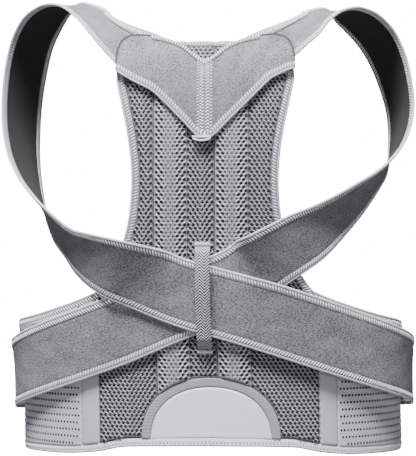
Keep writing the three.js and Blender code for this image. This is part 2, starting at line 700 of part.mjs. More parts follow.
function buildBeltSide(side, name) {
  const low = (arc) => hemHeight(arc) + HEM_TAPE + TAPE_GAP;
  const top = (arc) => beltTop(arc) - TAPE_WIDTH - TAPE_GAP;
  const strip = beltStretch(side, 0, STRIP_WIDTH, 3, low, top, BELT_MIDDLE);
  add(`belt_strip_${name}`, cloth(strip, BELT_WALL), 'cloth');
  const elastic = beltStretch(side, ELASTIC_START, ELASTIC_END, ELASTIC_STEPS, low, top, BELT_MIDDLE);
  add(`belt_elastic_${name}`, cloth(elastic, BELT_WALL), 'elastic');
  const tape = grid(TAPE_STEPS, 1, (u, v) => {
    const reach = ELASTIC_END * u;
    const z = beltTop(PANEL_ARC + reach) - v * TAPE_WIDTH;
    return beltPoint(side, reach, z, BELT_MIDDLE);
  });
  add(`belt_top_tape_${name}`, cloth(tape, TAPE_WALL), 'tape');
}

// A front panel of the belt with a rounded free end. The right one laps over the left one.
function buildFront(side, name) {
  const points = grid(FRONT_STEPS, BELT_ROWS, (u, v) => {
    const reach = THREE.MathUtils.lerp(FRONT_START, FRONT_END, Math.sin(u * Math.PI / 2));
    const past = Math.max(reach - (FRONT_END - FRONT_CORNER), 0) / FRONT_CORNER;
    const cut = FRONT_CORNER * (1 - Math.sqrt(1 - past * past));
    const arc = PANEL_ARC + reach;
    const z = THREE.MathUtils.lerp(hemHeight(arc) + cut, beltTop(arc) - cut, v);
    const lap = HALF_GIRTH - PANEL_ARC - FRONT_OVERLAP / 2;
    const over = side > 0 ? THREE.MathUtils.smoothstep(reach, lap - LAP_START, lap - LAP_END) : 0;
    return beltPoint(side, reach, z, THREE.MathUtils.lerp(BELT_MIDDLE, OVER_MIDDLE, over));
  });
  add(`belt_front_${name}`, cloth(points, FRONT_WALL), 'cloth');
}

// The hook pad between the two front panels
function buildFrontPad() {
  const pad = grid(3, 3, (u, v) => {
    const reach = HALF_GIRTH - PANEL_ARC + (u - 0.5) * (FRONT_OVERLAP - 2 * HOOK_MARGIN);
    const z = THREE.MathUtils.lerp(hemHeight(HALF_GIRTH), beltTop(HALF_GIRTH), 0.5);
    const off = BELT_MIDDLE + FRONT_WALL / 2 + LAYER_GAP + HOOK_WALL / 2;
    return beltPoint(1, reach, z + (v - 0.5) * HOOK_WIDTH, off);
  });
  add('front_hook_pad', cloth(pad, HOOK_WALL), 'hook');
}

function buildHemTape() {
  const reach = PANEL_ARC + ELASTIC_END;
  const points = grid(HEM_STEPS, 1, (u, v) => {
    const arc = THREE.MathUtils.lerp(-reach, reach, u);
    const z = hemHeight(Math.abs(arc)) + v * HEM_TAPE;
    const past = Math.abs(arc) - PANEL_ARC;
    if (past > 0) return beltPoint(Math.sign(arc), past, z, BELT_MIDDLE);
    return pointRound(edgeAngle(z) * (angleAt(arc) / angleAt(PANEL_ARC)), z, BELT_MIDDLE);
  });
  add('hem_tape', cloth(points, TAPE_WALL), 'tape');
}

buildPanel();
buildPanelTape(-1, 'panel_tape_left');
buildPanelTape(1, 'panel_tape_right');
buildPocket(-1, 'stay_pocket_left');
buildPocket(1, 'stay_pocket_right');
buildWing(-1, 'left');
buildWing(1, 'right');
buildTipTab();
buildStrap('left', LEFT_LOOP, LEFT_WRAP, 1, UPPER_STRAP_MIDDLE);
buildStrap('right', RIGHT_LOOP, RIGHT_WRAP, -1, LOWER_STRAP_MIDDLE);
buildStrapPad('strap_pad_left', LEFT_WRAP, 1);
buildStrapPad('strap_pad_right', RIGHT_WRAP, -1);
buildKeeper();
buildPatch();
buildBeltSide(-1, 'left');
buildBeltSide(1, 'right');
buildFront(-1, 'left');
buildFront(1, 'right');
buildFrontPad();
buildHemTape();

export default brace;
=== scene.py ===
# %% [markdown]
# # A posture corrector, dressed in cloth
# The brace is a mesh back panel with a belt, a winged yoke at the top and two wide straps that
# cross on the back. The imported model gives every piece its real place. This lesson lays fine cloth
# over those places: knitted mesh, brushed felt, stitched tapes, webbing and perforated elastic.

# %% Frame
import math
import bpy
import numpy as np
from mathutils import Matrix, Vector


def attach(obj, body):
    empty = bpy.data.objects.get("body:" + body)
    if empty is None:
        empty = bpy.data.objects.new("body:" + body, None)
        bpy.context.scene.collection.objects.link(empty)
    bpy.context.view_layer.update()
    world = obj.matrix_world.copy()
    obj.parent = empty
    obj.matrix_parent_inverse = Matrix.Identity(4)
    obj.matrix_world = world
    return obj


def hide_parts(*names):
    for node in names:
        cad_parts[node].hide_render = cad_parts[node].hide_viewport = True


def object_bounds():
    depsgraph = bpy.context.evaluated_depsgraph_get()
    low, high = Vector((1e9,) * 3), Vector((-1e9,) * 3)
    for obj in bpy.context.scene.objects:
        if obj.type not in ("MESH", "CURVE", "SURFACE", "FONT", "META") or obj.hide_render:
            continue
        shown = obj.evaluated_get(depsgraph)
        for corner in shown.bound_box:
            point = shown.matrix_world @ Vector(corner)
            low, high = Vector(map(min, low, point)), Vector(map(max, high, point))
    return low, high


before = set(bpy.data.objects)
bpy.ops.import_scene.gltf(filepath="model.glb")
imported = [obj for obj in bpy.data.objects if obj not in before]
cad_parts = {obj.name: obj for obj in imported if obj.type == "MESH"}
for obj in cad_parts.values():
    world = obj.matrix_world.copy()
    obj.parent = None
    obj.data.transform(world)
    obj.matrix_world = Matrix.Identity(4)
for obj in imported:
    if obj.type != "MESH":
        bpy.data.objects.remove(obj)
cad_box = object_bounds()
print("CAD box, metres:", cad_box)

# %% [markdown]
# ## The body that the cloth is shaped to
# A worn brace takes its form from the trunk inside it. The trunk could be sculpted, but a short
# table of sections is enough: each row gives a height, a half-width and two depths, and a smooth
# curve runs between the rows. The same named sizes shaped the solids, so cloth and solids agree.

# %% Sizes in millimetres, heights from the hem
HEIGHT = 430.0
WAIST_LEVEL = 65.0
SHOULDER_HALF = 210.0
WAIST_HALF = 187.0
BACK_DEPTH = 110.0
FRONT_DEPTH = 112.0
PLAN_POWER = 2.35
PANEL_WALL, POCKET_RISE, FELT_WALL, BELT_WALL = 3.0, 2.4, 2.2, 2.6
FRONT_WALL, PATCH_WALL, TAPE_WALL, WEBBING_WALL, HOOK_WALL = 2.2, 1.6, 2.8, 1.2, 1.2
LAYER_GAP, WING_GAP, SEAM_GAP, TAPE_GAP = 0.5, 0.8, 0.4, 0.7
TAPE_WIDTH, HEM_TAPE, STRAP_WIDTH = 7.0, 7.0, 65.0
PANEL_HALF, PANEL_TOP, PANEL_TAPE_END = 105.0, 386.0, 150.0

TRUNK = np.array([
    [0.00, 1.000, 1.01, 1.00, 0.022],
    [0.15, 1.000, 0.98, 1.00, 0.016],
    [0.30, 1.015, 0.99, 0.98, 0.004],
    [0.45, 0.930, 1.03, 0.98, 0.000],
    [0.65, 0.960, 1.06, 0.98, 0.000],
    [0.79, 1.000, 1.01, 0.94, 0.000],
    [0.845, 1.020, 0.93, 0.90, 0.000],
    [0.90, 1.030, 0.77, 0.85, 0.000],
    [0.935, 1.030, 0.64, 0.80, 0.000],
    [1.00, 1.020, 0.42, 0.72, 0.000],
])

# %% Reading a table between its rows, and points off the trunk
def look_up(rows, key, column):
    """A smooth value of one column at keys that may lie between two rows."""
    rows = np.asarray(rows, float)
    keys = rows[:, 0]
    values = rows[:, column]
    held = np.clip(key, keys[0], keys[-1])
    i = np.clip(np.searchsorted(keys, held, side="left") - 1, 0, len(keys) - 2)
    before = np.maximum(np.arange(len(keys)) - 1, 0)
    after = np.minimum(np.arange(len(keys)) + 1, len(keys) - 1)
    slopes = (values[after] - values[before]) / (keys[after] - keys[before])
    span = keys[i + 1] - keys[i]
    t = (held - keys[i]) / span
    rise = 3 * t**2 - 2 * t**3
    start = t**3 - 2 * t**2 + t
    end = t**3 - t**2
    between = values[i] + (values[i + 1] - values[i]) * rise
    return between + span * (start * slopes[i] + end * slopes[i + 1])


def trunk_at(z):
    """Half-width, depth behind, depth in front, lean and spread of the trunk at a height."""
    share = np.asarray(z, float) / HEIGHT
    step = 0.01
    change = look_up(TRUNK, share + step, 2) - look_up(TRUNK, share - step, 2)
    spread = np.hypot(1, BACK_DEPTH * change / (2 * step * HEIGHT))
    return (WAIST_HALF * look_up(TRUNK, share, 1), BACK_DEPTH * look_up(TRUNK, share, 2),
            FRONT_DEPTH * look_up(TRUNK, share, 3), WAIST_HALF * look_up(TRUNK, share, 4), spread)


def point_round(angle, z, off):
    """A point off the trunk by its direction: 0 is straight back, positive to the right."""
    half, back, front, lean, spread = trunk_at(z)
    depth = np.where(np.cos(angle) > 0, back + off * spread, front + off)
    across = np.abs(np.sin(angle)) / (half + off)
    along = np.abs(np.cos(angle)) / depth
    radius = (across**PLAN_POWER + along**PLAN_POWER) ** (-1 / PLAN_POWER)
    return np.stack(np.broadcast_arrays(lean + radius * np.sin(angle), -radius * np.cos(angle), z), -1)


def angle_of(points):
    return np.arctan2(points[..., 0] - trunk_at(points[..., 2])[3], -points[..., 1])


def back_point(x, z, off):
    """A point off the back by its distance sideways from the middle."""
    half, back, _, lean, spread = trunk_at(z)
    share = np.abs(x) / (half + off)
    y = -(back + off * spread) * (1 - share**PLAN_POWER) ** (1 / PLAN_POWER)
    return np.stack(np.broadcast_arrays(lean + x, y, z), -1)


print("back at the waistline, mm:", back_point(0.0, WAIST_LEVEL, 0.0).round(1))

# %% [markdown]
# ## Tables for the panel, the belt, the yoke and the straps
# The outlines are short tables too. Each strap has a row per section: the place of its middle,
# the direction across it, and whether it lies pressed on the back. A learner can move one row and
# see the whole band follow.

# %% Outline tables
PANEL_OUTLINE = [
    [0.000, 1.00], [0.300, 1.00], [0.350, 0.998], [0.378, 0.98], [0.405, 0.91], [0.450, 0.81],
    [0.510, 0.74], [0.560, 0.695], [0.610, 0.675], [0.660, 0.668], [0.715, 0.68], [0.790, 0.722],
    [0.850, 0.77], [0.917, 0.81], [1.000, 0.74],
]
BELT_EDGES = [
    [0.00, 0.000, 1.32], [0.16, -0.015, 1.30], [0.22, -0.060, 1.19], [0.28, -0.085, 1.10],
    [0.36, -0.095, 1.01], [0.45, -0.105, 0.95], [0.55, -0.105, 0.89], [0.75, -0.090, 0.87],
    [1.00, -0.065, 0.86], [1.10, -0.065, 0.86],
]
WING = [
    [0.00, 0.730, -0.020, -0.020], [0.10, 0.790, 0.022, 0.015], [0.26, 0.900, 0.163, 0.150],
    [0.45, 0.968, 0.328, 0.310], [0.60, 0.996, 0.445, 0.437], [0.74, 1.003, 0.508, 0.555],
    [0.86, 0.995, 0.562, 0.612], [0.94, 0.950, 0.604, 0.645], [0.98, 0.880, 0.625, 0.657],
    [1.00, 0.790, 0.637, 0.660],
]
LEFT_LOOP = [
    [-0.250, -0.910, 0.855, -0.78, -0.35, -0.52, 1.0],
    [-0.356, -0.800, 0.888, -0.53, -0.63, -0.57, 1.0],
    [-0.439, -0.640, 0.923, -0.35, -0.78, -0.52, 0.4],
    [-0.518, -0.455, 0.958, -0.19, -0.87, -0.44, 0.0],
    [-0.614, -0.255, 0.990, -0.06, -0.95, -0.31, 0.0],
    [-0.682, -0.073, 1.002, -0.18, -0.98, -0.08, 0.0],
    [-0.755, 0.073, 0.992, -0.34, -0.94, 0.08, 0.0],
    [-0.821, 0.182, 0.964, -0.49, -0.86, 0.12, 0.0],
    [-0.870, 0.255, 0.922, -0.53, -0.84, 0.12, 0.0],
    [-0.903, 0.300, 0.864, -0.55, -0.83, 0.09, 0.0],
    [-0.924, 0.318, 0.794, -0.53, -0.84, 0.03, 0.0],
    [-0.928, 0.300, 0.724, -0.49, -0.87, 0.00, 0.0],
    [-0.911, 0.227, 0.655, -0.39, -0.92, 0.00, 0.0],
    [-0.872, 0.109, 0.595, -0.24, -0.97, 0.05, 0.0],
    [-0.823, -0.045, 0.548, -0.08, -0.98, 0.14, 0.0],
    [-0.770, -0.227, 0.508, 0.06, -0.96, 0.26, 0.0],
    [-0.708, -0.420, 0.473, 0.17, -0.92, 0.34, 0.0],
    [-0.639, -0.650, 0.446, 0.20, -0.88, 0.43, 0.0],
    [-0.549, -0.930, 0.420, 0.28, -0.72, 0.63, 0.0],
    [-0.408, -1.150, 0.391, 0.36, -0.47, 0.81, 0.1],
    [-0.263, -1.150, 0.368, 0.34, -0.30, 0.89, 0.4],
]
RIGHT_LOOP = [
    [0.255, -0.910, 0.858, 0.80, -0.35, -0.48, 1.0],
    [0.344, -0.800, 0.893, 0.53, -0.66, -0.53, 1.0],
    [0.423, -0.640, 0.926, 0.36, -0.79, -0.49, 0.4],
    [0.495, -0.455, 0.953, 0.21, -0.88, -0.43, 0.0],
    [0.560, -0.255, 0.976, 0.08, -0.95, -0.30, 0.0],
    [0.614, -0.073, 0.987, 0.20, -0.98, -0.07, 0.0],
    [0.677, 0.073, 0.981, 0.33, -0.93, 0.15, 0.0],
    [0.751, 0.182, 0.961, 0.41, -0.87, 0.24, 0.0],
    [0.819, 0.255, 0.927, 0.46, -0.85, 0.24, 0.0],
    [0.872, 0.300, 0.879, 0.47, -0.87, 0.18, 0.0],
    [0.910, 0.318, 0.820, 0.43, -0.90, 0.11, 0.0],
    [0.929, 0.300, 0.764, 0.37, -0.93, 0.05, 0.0],
    [0.923, 0.227, 0.714, 0.28, -0.96, 0.02, 0.0],
    [0.899, 0.109, 0.670, 0.15, -0.99, 0.02, 0.0],
    [0.865, -0.045, 0.636, -0.02, -1.00, 0.03, 0.0],
    [0.822, -0.210, 0.606, -0.19, -0.98, 0.06, 0.0],
    [0.752, -0.390, 0.573, -0.32, -0.93, 0.15, 0.0],
    [0.668, -0.564, 0.536, -0.42, -0.86, 0.28, 0.0],
    [0.565, -0.780, 0.497, -0.50, -0.74, 0.44, 0.0],
    [0.444, -1.000, 0.457, -0.57, -0.52, 0.62, 0.0],
    [0.299, -1.145, 0.414, -0.56, -0.46, 0.70, 0.3],
]
LEFT_WRAP = [
    [-0.052, 0.339, 0], [0.025, 0.317, 0], [0.109, 0.293, 4.5], [0.208, 0.262, 2],
    [0.317, 0.227, 0], [0.423, 0.194, 0], [0.519, 0.168, 0], [0.623, 0.146, 0],
    [0.780, 0.130, 0], [1.000, 0.125, 0],
]
RIGHT_WRAP = [
    [-0.055, 0.358, 0], [0.032, 0.323, 0], [0.120, 0.289, 0], [0.210, 0.253, 0],
    [0.314, 0.218, 0], [0.410, 0.187, 0], [0.506, 0.159, 0], [0.610, 0.136, 0],
    [0.780, 0.121, 0], [1.000, 0.116, 0],
]

# %% Widths, and the level at which each layer lies off the trunk
POCKET_GAP, POCKET_WIDTH, POCKET_SHIFT, POCKET_TUCK = 27.0, 31.0, -3.5, 9.0
WING_LENGTH, YOKE_HEIGHT, YOKE_TIP = 84.5, 100.0, 292.0
TAB_WIDTH, TAB_DROP, TAB_TUCK, TAB_WALL, TAB_LIP, TAB_SHIFT = 18.0, 3.6, 1.2, 0.9, 1.7, -2.6
KEEPER_WIDTH, KEEPER_TOP, KEEPER_BOTTOM, KEEPER_SHIFT, TACK_LENGTH = 14.0, 189.0, 92.0, -2.0, 4.0
PATCH_WIDTH, PATCH_HEIGHT, PATCH_POWER, PATCH_BORDER, PATCH_SHIFT = 132.0, 57.0, 2.2, 8.5, 2.0
STRIP_WIDTH, BELT_SIDE_HEIGHT, ELASTIC_LENGTH = 18.0, 122.0, 190.0
FRONT_OVERLAP, FRONT_CORNER, LAP_START, LAP_END = 38.0, 22.0, 40.0, 6.0
HOOK_WIDTH, HOOK_MARGIN, PAD_LENGTH, PAD_MARGIN = 58.0, 4.0, 55.0, 14.0
STRAP_REACH, STRAP_SLACK = 385.0, 3.0

PANEL_MIDDLE = PANEL_WALL / 2
POCKET_BASE = PANEL_WALL + LAYER_GAP
STRAP_END_MIDDLE = PANEL_WALL + LAYER_GAP + TAPE_WALL / 2
WING_MIDDLE = STRAP_END_MIDDLE + TAPE_WALL + WING_GAP
LOWER_STRAP = POCKET_BASE + POCKET_RISE + LAYER_GAP + TAPE_WALL / 2
UPPER_STRAP = LOWER_STRAP + TAPE_WALL + LAYER_GAP
KEEPER_LOW = PANEL_WALL + LAYER_GAP + WEBBING_WALL / 2
KEEPER_HIGH = UPPER_STRAP + TAPE_WALL / 2 + LAYER_GAP + WEBBING_WALL / 2
STRAP_PAD_MIDDLE = BELT_WALL + HOOK_WALL + 2 * LAYER_GAP + TAPE_WALL / 2
BELT_MIDDLE = BELT_WALL / 2
OVER_MIDDLE = BELT_MIDDLE + FRONT_WALL + HOOK_WALL + 2 * LAYER_GAP

# %% Distances round the belt
BELT_LEVEL = BELT_SIDE_HEIGHT / 2
ROUND_ANGLES = np.radians(np.arange(201))
ring = point_round(ROUND_ANGLES, BELT_LEVEL, 0.0)
ROUND_ARCS = np.concatenate([[0], np.cumsum(np.linalg.norm(np.diff(ring, axis=0), axis=1))])
HALF_GIRTH = ROUND_ARCS[180]


def angle_at(arc):
    return np.sign(arc) * np.interp(np.abs(arc), ROUND_ARCS, ROUND_ANGLES)


def arc_at(angle):
    return np.interp(angle, ROUND_ANGLES, ROUND_ARCS)


def edge_angle(z):
    edge = back_point(PANEL_HALF + SEAM_GAP, z, PANEL_MIDDLE)
    return np.arctan2(edge[..., 0] - trunk_at(z)[3], -edge[..., 1])


PANEL_ARC = float(arc_at(edge_angle(BELT_LEVEL)))


def hem_height(arc):
    return BELT_SIDE_HEIGHT * look_up(BELT_EDGES, arc / HALF_GIRTH, 1)


def belt_top(arc):
    return BELT_SIDE_HEIGHT * look_up(BELT_EDGES, arc / HALF_GIRTH, 2)


def belt_point(side, reach, z, off):
    """A point of the belt by its distance round from the panel's edge, on one side."""
    turned = angle_at(PANEL_ARC + reach) - angle_at(PANEL_ARC)
    return point_round(side * (edge_angle(z) + turned), z, off)


print("belt girth, mm:", round(2 * HALF_GIRTH))

# %% [markdown]
# ## The curve that a strap follows
# A wide strap is a ribbon: it has a path and, at each point of it, a direction across. Two Bezier
# rails would do, but one smooth curve for the middle and one for the direction keep the width the
# same all the way. The curve passes through every row of the table, like a bent ruler.

# %% A smooth curve through rows of numbers
class Curve:
    """A curve through points that is evened out by the distance between them."""

    def __init__(self, points):
        self.points = np.asarray(points, float)
        self.shares = np.linspace(0, 1, 201)
        steps = np.linalg.norm(np.diff(self.at(self.shares), axis=0), axis=1)
        self.lengths = np.concatenate([[0], np.cumsum(steps)])

    def at(self, share):
        count = len(self.points)
        place = np.clip(np.asarray(share, float), 0, 1) * (count - 1)
        i = np.minimum(place.astype(int), count - 2)
        t = (place - i)[:, None]
        ends = np.concatenate([[2 * self.points[0] - self.points[1]], self.points,
                               [2 * self.points[-1] - self.points[-2]]])
        a, b, c, d = ends[i], ends[i + 1], ends[i + 2], ends[i + 3]
        gaps = [((q - p) ** 2).sum(-1, keepdims=True) ** 0.25 for p, q in ((a, b), (b, c), (c, d))]
        middle = np.where(gaps[1] < 1e-4, 1.0, gaps[1])
        first = np.where(gaps[0] < 1e-4, middle, gaps[0])
        last = np.where(gaps[2] < 1e-4, middle, gaps[2])
        leave = ((b - a) / first - (c - a) / (first + middle) + (c - b) / middle) * middle
        arrive = ((c - b) / middle - (d - b) / (middle + last) + (d - c) / last) * middle
        bend = -3 * b + 3 * c - 2 * leave - arrive
        return b + t * leave + t**2 * bend + t**3 * (2 * b - 2 * c + leave + arrive)

    def evenly(self, share):
        return np.interp(np.asarray(share, float) * self.lengths[-1], self.lengths, self.shares)


# %% The two straps' curves
def smooth_step(value, low, high):
    t = np.clip((value - low) / (high - low), 0, 1)
    return t * t * (3 - 2 * t)


def wrap_offset(arc, middle):
    share = arc / STRAP_REACH
    slack = STRAP_SLACK * smooth_step(share, 0.3, 0.5)
    landed = smooth_step(share, 0.62, 0.82)
    return (middle + slack) * (1 - landed) + STRAP_PAD_MIDDLE * landed


def strap_curves(loop, wrap, side, middle):
    """The strap's middle line, the direction across it, and how it is held to the trunk."""
    middles, acrosses, grips = [], [], []
    for i, (x, y, z, *across, pressed) in enumerate(loop):
        middles.append([x * SHOULDER_HALF, y * BACK_DEPTH, z * HEIGHT])
        acrosses.append(np.array(across) / np.linalg.norm(across))
        grips.append([pressed, STRAP_END_MIDDLE if i < len(loop) / 2 else middle, 0])

    def wrap_point(arc, z, extra):
        return point_round(side * angle_at(arc), z, wrap_offset(arc, middle) + extra)

    for reach, height, standing in wrap:
        arc, z = reach * STRAP_REACH, height * HEIGHT
        here = wrap_point(arc, z, 0)
        slope = look_up(wrap, reach + 0.01, 1) - look_up(wrap, reach - 0.01, 1)
        ahead = wrap_point(arc + 0.02 * STRAP_REACH, z + slope * HEIGHT, 0) - here
        across = np.cross(wrap_point(arc, z, 1) - here, ahead)
        across /= np.linalg.norm(across)
        middles.append(here)
        acrosses.append(-across if across[2] < 0 else across)
        grips.append([1, wrap_offset(arc, middle), standing])
    return Curve(middles), Curve(acrosses), Curve(grips)


def strap_points(curves, along, across):
    """Points of a strap: shares of its length, and distances from its middle line."""
    middles, acrosses, grips = curves
    t = middles.evenly(along)
    direction = acrosses.at(t)
    direction /= np.linalg.norm(direction, axis=1, keepdims=True)
    points = middles.at(t) + direction * np.asarray(across)[..., None]
    grip = grips.at(t)
    hold = np.clip(grip[:, :1], 0, 1)
    standing = np.maximum(grip[:, 2], 0) * (0.5 + np.asarray(across) / STRAP_WIDTH) ** 2
    pressed = point_round(angle_of(points), points[:, 2], grip[:, 1] + standing)
    return points * (1 - hold) + pressed * hold


STRAPS = {
    "left": strap_curves(LEFT_LOOP, LEFT_WRAP, 1, UPPER_STRAP),
    "right": strap_curves(RIGHT_LOOP, RIGHT_WRAP, -1, LOWER_STRAP),
}
print("strap lengths, mm:", {side: round(c[0].lengths[-1]) for side, c in STRAPS.items()})

# %% [markdown]
# ## Camera, light and floor
# The brace is seen from straight behind, from about its middle height and from nearly two metres
# away, so its sides look almost parallel. One broad lamp hangs high over the back, a little to the
# left, and shows the weave. The floor and the surround look white but cast little light, so the
# faces that turn down stay dark, as in the photo. A white world alone would light them all alike.

# %% Camera and studio
PHOTO_HEIGHT = 456
PHOTO_SCALE = 0.95            # millimetres to a pixel at the back of the panel
SENSOR_HEIGHT = 36.0
CAMERA_DISTANCE = 1700.0      # from the back of the panel
CAMERA_YAW = math.radians(2.0)
EYE_LEVEL = 207.0
AIM_SHIFT = -0.95
KEY = {"place": (-0.2, -0.92, 2.1), "aim": (0, -0.05, 0.12), "size": 0.8, "power": 192}
FILL = {"place": (0.4, -2.2, 0.6), "aim": (0, 0, 0.1), "size": 0.8, "power": 11}
FLOOR_SIZE, FLOOR_DROP = 12.0, 0.05
SURROUND = 0.10               # the light that the white surround casts
FLOOR_BOUNCE = 0.12           # the floor looks pale but throws little light up, as in the photo
BACKDROP = 18.0               # how bright the surround itself looks


def make_camera():
    data = bpy.data.cameras.new("camera")
    data.sensor_fit = "VERTICAL"
    data.sensor_height = SENSOR_HEIGHT
    data.lens = SENSOR_HEIGHT * CAMERA_DISTANCE / (PHOTO_HEIGHT * PHOTO_SCALE)
    camera = bpy.data.objects.new("camera", data)
    bpy.context.scene.collection.objects.link(camera)
    away = (CAMERA_DISTANCE + BACK_DEPTH) / 1000
    camera.location = (away * math.sin(CAMERA_YAW) + AIM_SHIFT / 1000,
                       -away * math.cos(CAMERA_YAW), (EYE_LEVEL - WAIST_LEVEL) / 1000)
    camera.rotation_euler = (math.pi / 2, 0, CAMERA_YAW)
    bpy.context.scene.camera = camera


def make_lamp(name, place, aim, size, power):
    data = bpy.data.lights.new(name, "AREA")
    data.shape = "DISK"
    data.size = size
    data.energy = power
    lamp = bpy.data.objects.new(name, data)
    bpy.context.scene.collection.objects.link(lamp)
    lamp.location = place
    lamp.rotation_euler = (Vector(aim) - Vector(place)).to_track_quat("-Z", "Y").to_euler()


def plain_material(name, color, roughness):
    material = bpy.data.materials.new(name)
    material.use_nodes = True
    shader = material.node_tree.nodes["Principled BSDF"]
    shader.inputs["Base Color"].default_value = (*color, 1)
    shader.inputs["Roughness"].default_value = roughness
    return material


def seen_only(tree, low, high):
    """A strength that is high for what the camera sees directly and low for the light it casts."""
    path = tree.nodes.new("ShaderNodeLightPath")
    mix = tree.nodes.new("ShaderNodeMapRange")
    mix.inputs["To Min"].default_value = low
    mix.inputs["To Max"].default_value = high
    tree.links.new(path.outputs["Is Camera Ray"], mix.inputs["Value"])
    return mix.outputs[0]


def make_studio():
    world = bpy.data.worlds.new("studio")
    bpy.context.scene.world = world
    world.use_nodes = True
    background = world.node_tree.nodes["Background"]
    background.inputs["Color"].default_value = (1, 1, 1, 1)
    world.node_tree.links.new(seen_only(world.node_tree, SURROUND, BACKDROP), background.inputs["Strength"])
    make_lamp("key", **KEY)
    make_lamp("fill", **FILL)
    bpy.ops.mesh.primitive_plane_add(size=FLOOR_SIZE, location=(0, 0, cad_box[0][2] - FLOOR_DROP))
    floor = bpy.context.object
    floor.name = "floor"
    pale = plain_material("pale_floor", (FLOOR_BOUNCE,) * 3, 0.9)
    shader = pale.node_tree.nodes["Principled BSDF"]
    shader.inputs["Emission Color"].default_value = (1, 1, 1, 1)
    pale.node_tree.links.new(seen_only(pale.node_tree, 0.0, BACKDROP), shader.inputs["Emission Strength"])
    floor.data.materials.append(pale)


make_camera()
make_studio()
print("camera lens, mm:", round(bpy.context.scene.camera.data.lens, 1))

# %% [markdown]
# ## From points to cloth
# Real cloth has two faces and a thickness. A Solidify modifier could thicken a single sheet, but
# here each sheet is a grid of points with its own normals, so the outer face, the inner face and
# the rounded edge are written in one go. The grid's two distances, in metres, become the UV map,
# so a weave keeps its true size however the cloth bends.

# %% Grids and closed sheets
MILLI = 0.001


def surface(rows, columns, point_at):
    """A grid of points in millimetres from a function of two arrays of shares."""
    v, u = np.meshgrid(np.linspace(0, 1, rows + 1), np.linspace(0, 1, columns + 1), indexing="ij")
    return point_at(v.ravel(), u.ravel()).reshape(rows + 1, columns + 1, 3)


def normals_of(points):
    down = np.gradient(points, axis=0)
    over = np.gradient(points, axis=1)
    normal = np.cross(down, over)
    length = np.linalg.norm(normal, axis=-1, keepdims=True)
    return normal / np.maximum(length, 1e-9)


def lengths_along(points, axis):
    steps = np.linalg.norm(np.diff(points, axis=axis), axis=-1)
    total = np.cumsum(steps, axis=axis)
    return np.concatenate([np.zeros_like(total.take([0], axis)), total], axis)


def new_piece(name, vertices, faces, uvs, materials, slots):
    """A mesh object at the origin: vertices in millimetres from the hem, a UV for each vertex."""
    mesh = bpy.data.meshes.new(name)
    placed = (np.asarray(vertices) - [0, 0, WAIST_LEVEL]) * MILLI
    mesh.from_pydata(placed.tolist(), [], faces)
    for material in materials:
        mesh.materials.append(material)
    mesh.polygons.foreach_set("material_index", slots)
    layer = mesh.uv_layers.new(name="UVMap")
    corners = np.empty(len(mesh.loops), int)
    mesh.loops.foreach_get("vertex_index", corners)
    layer.data.foreach_set("uv", (np.asarray(uvs)[corners] * MILLI).ravel())
    mesh.polygons.foreach_set("use_smooth", [True] * len(mesh.polygons))
    mesh.update()
    piece = bpy.data.objects.new(name, mesh)
    bpy.context.scene.collection.objects.link(piece)
    return piece


def sheet_piece(name, points, outer, inner, materials, slot=0, inner_slot=None):
    """A closed sheet with two faces: outer and inner are their distances out from the points.

    Outwards is away from the middle of the trunk, so the grid is turned over if it faces in. A slot
    is a material's number, or one number for each strip of the grid.
    """
    rows, columns = points.shape[:2]
    outer, inner = (np.broadcast_to(d, (rows, columns)) for d in (outer, inner))
    strips = np.broadcast_to(slot, columns - 1)
    backs = strips if inner_slot is None else np.broadcast_to(inner_slot, columns - 1)
    normal = normals_of(points)
    if (normal * (points - [0, 0, HEIGHT / 2])).sum() < 0:
        points, normal, outer, inner = points[:, ::-1], -normal[:, ::-1], outer[:, ::-1], inner[:, ::-1]
        strips, backs = strips[::-1], backs[::-1]
    uvs = np.stack([lengths_along(points, 1), lengths_along(points, 0)], -1).reshape(-1, 2)
    top, low = np.arange(2 * rows * columns).reshape(2, rows, columns)
    faces, slots = [], []

    def add(a, b, c, d, number):
        quads = np.stack([a.ravel(), b.ravel(), c.ravel(), d.ravel()], -1)
        faces.extend(quads.tolist())
        slots.extend(np.broadcast_to(number, a.shape).ravel().tolist())

    add(top[:-1, :-1], top[1:, :-1], top[1:, 1:], top[:-1, 1:], strips)
    add(low[:-1, :-1], low[:-1, 1:], low[1:, 1:], low[1:, :-1], backs)
    add(top[1:, 0], top[:-1, 0], low[:-1, 0], low[1:, 0], 0)
    add(top[:-1, -1], top[1:, -1], low[1:, -1], low[:-1, -1], 0)
    add(top[0, :-1], top[0, 1:], low[0, 1:], low[0, :-1], 0)
    add(top[-1, 1:], top[-1, :-1], low[-1, :-1], low[-1, 1:], 0)
    vertices = np.concatenate([(points + normal * d[..., None]).reshape(-1, 3) for d in (outer, inner)])
    return new_piece(name, vertices, faces, np.concatenate([uvs, uvs]), materials, slots)


def rounded(rows, columns, wall, rim_rows, rim_columns, edge=0.35):
    """Half of a cloth's thickness over a grid, thinner over a few cells next to its edges."""
    def ramp(count, rim):
        steps = np.minimum(np.arange(count), np.arange(count)[::-1])
        t = np.clip(steps / max(rim, 1), 0, 1) if rim else np.ones(count)
        return edge + (1 - edge) * np.sqrt(1 - (1 - t) ** 2)
    return wall / 2 * np.outer(ramp(rows, rim_rows), ramp(columns, rim_columns))


def declare(piece, nodes, slot, **flat):
    """Every piece rides on the one body. A sheet's flat size, in millimetres, is read but not kept."""
    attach(piece, "root")
    if nodes:
        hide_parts(*nodes)
    if flat:
        size = flat.pop("flat")
    return piece

# %% [markdown]
# ## Finishes
# Cloth never shows one flat colour. Shared effects go into small node groups with named inputs: a
# brushed nap, a rib, a herringbone. Each group gives out only a shade and a height, and every material
# keeps its own shader, so one nap serves the pale wings and the dark lining alike.

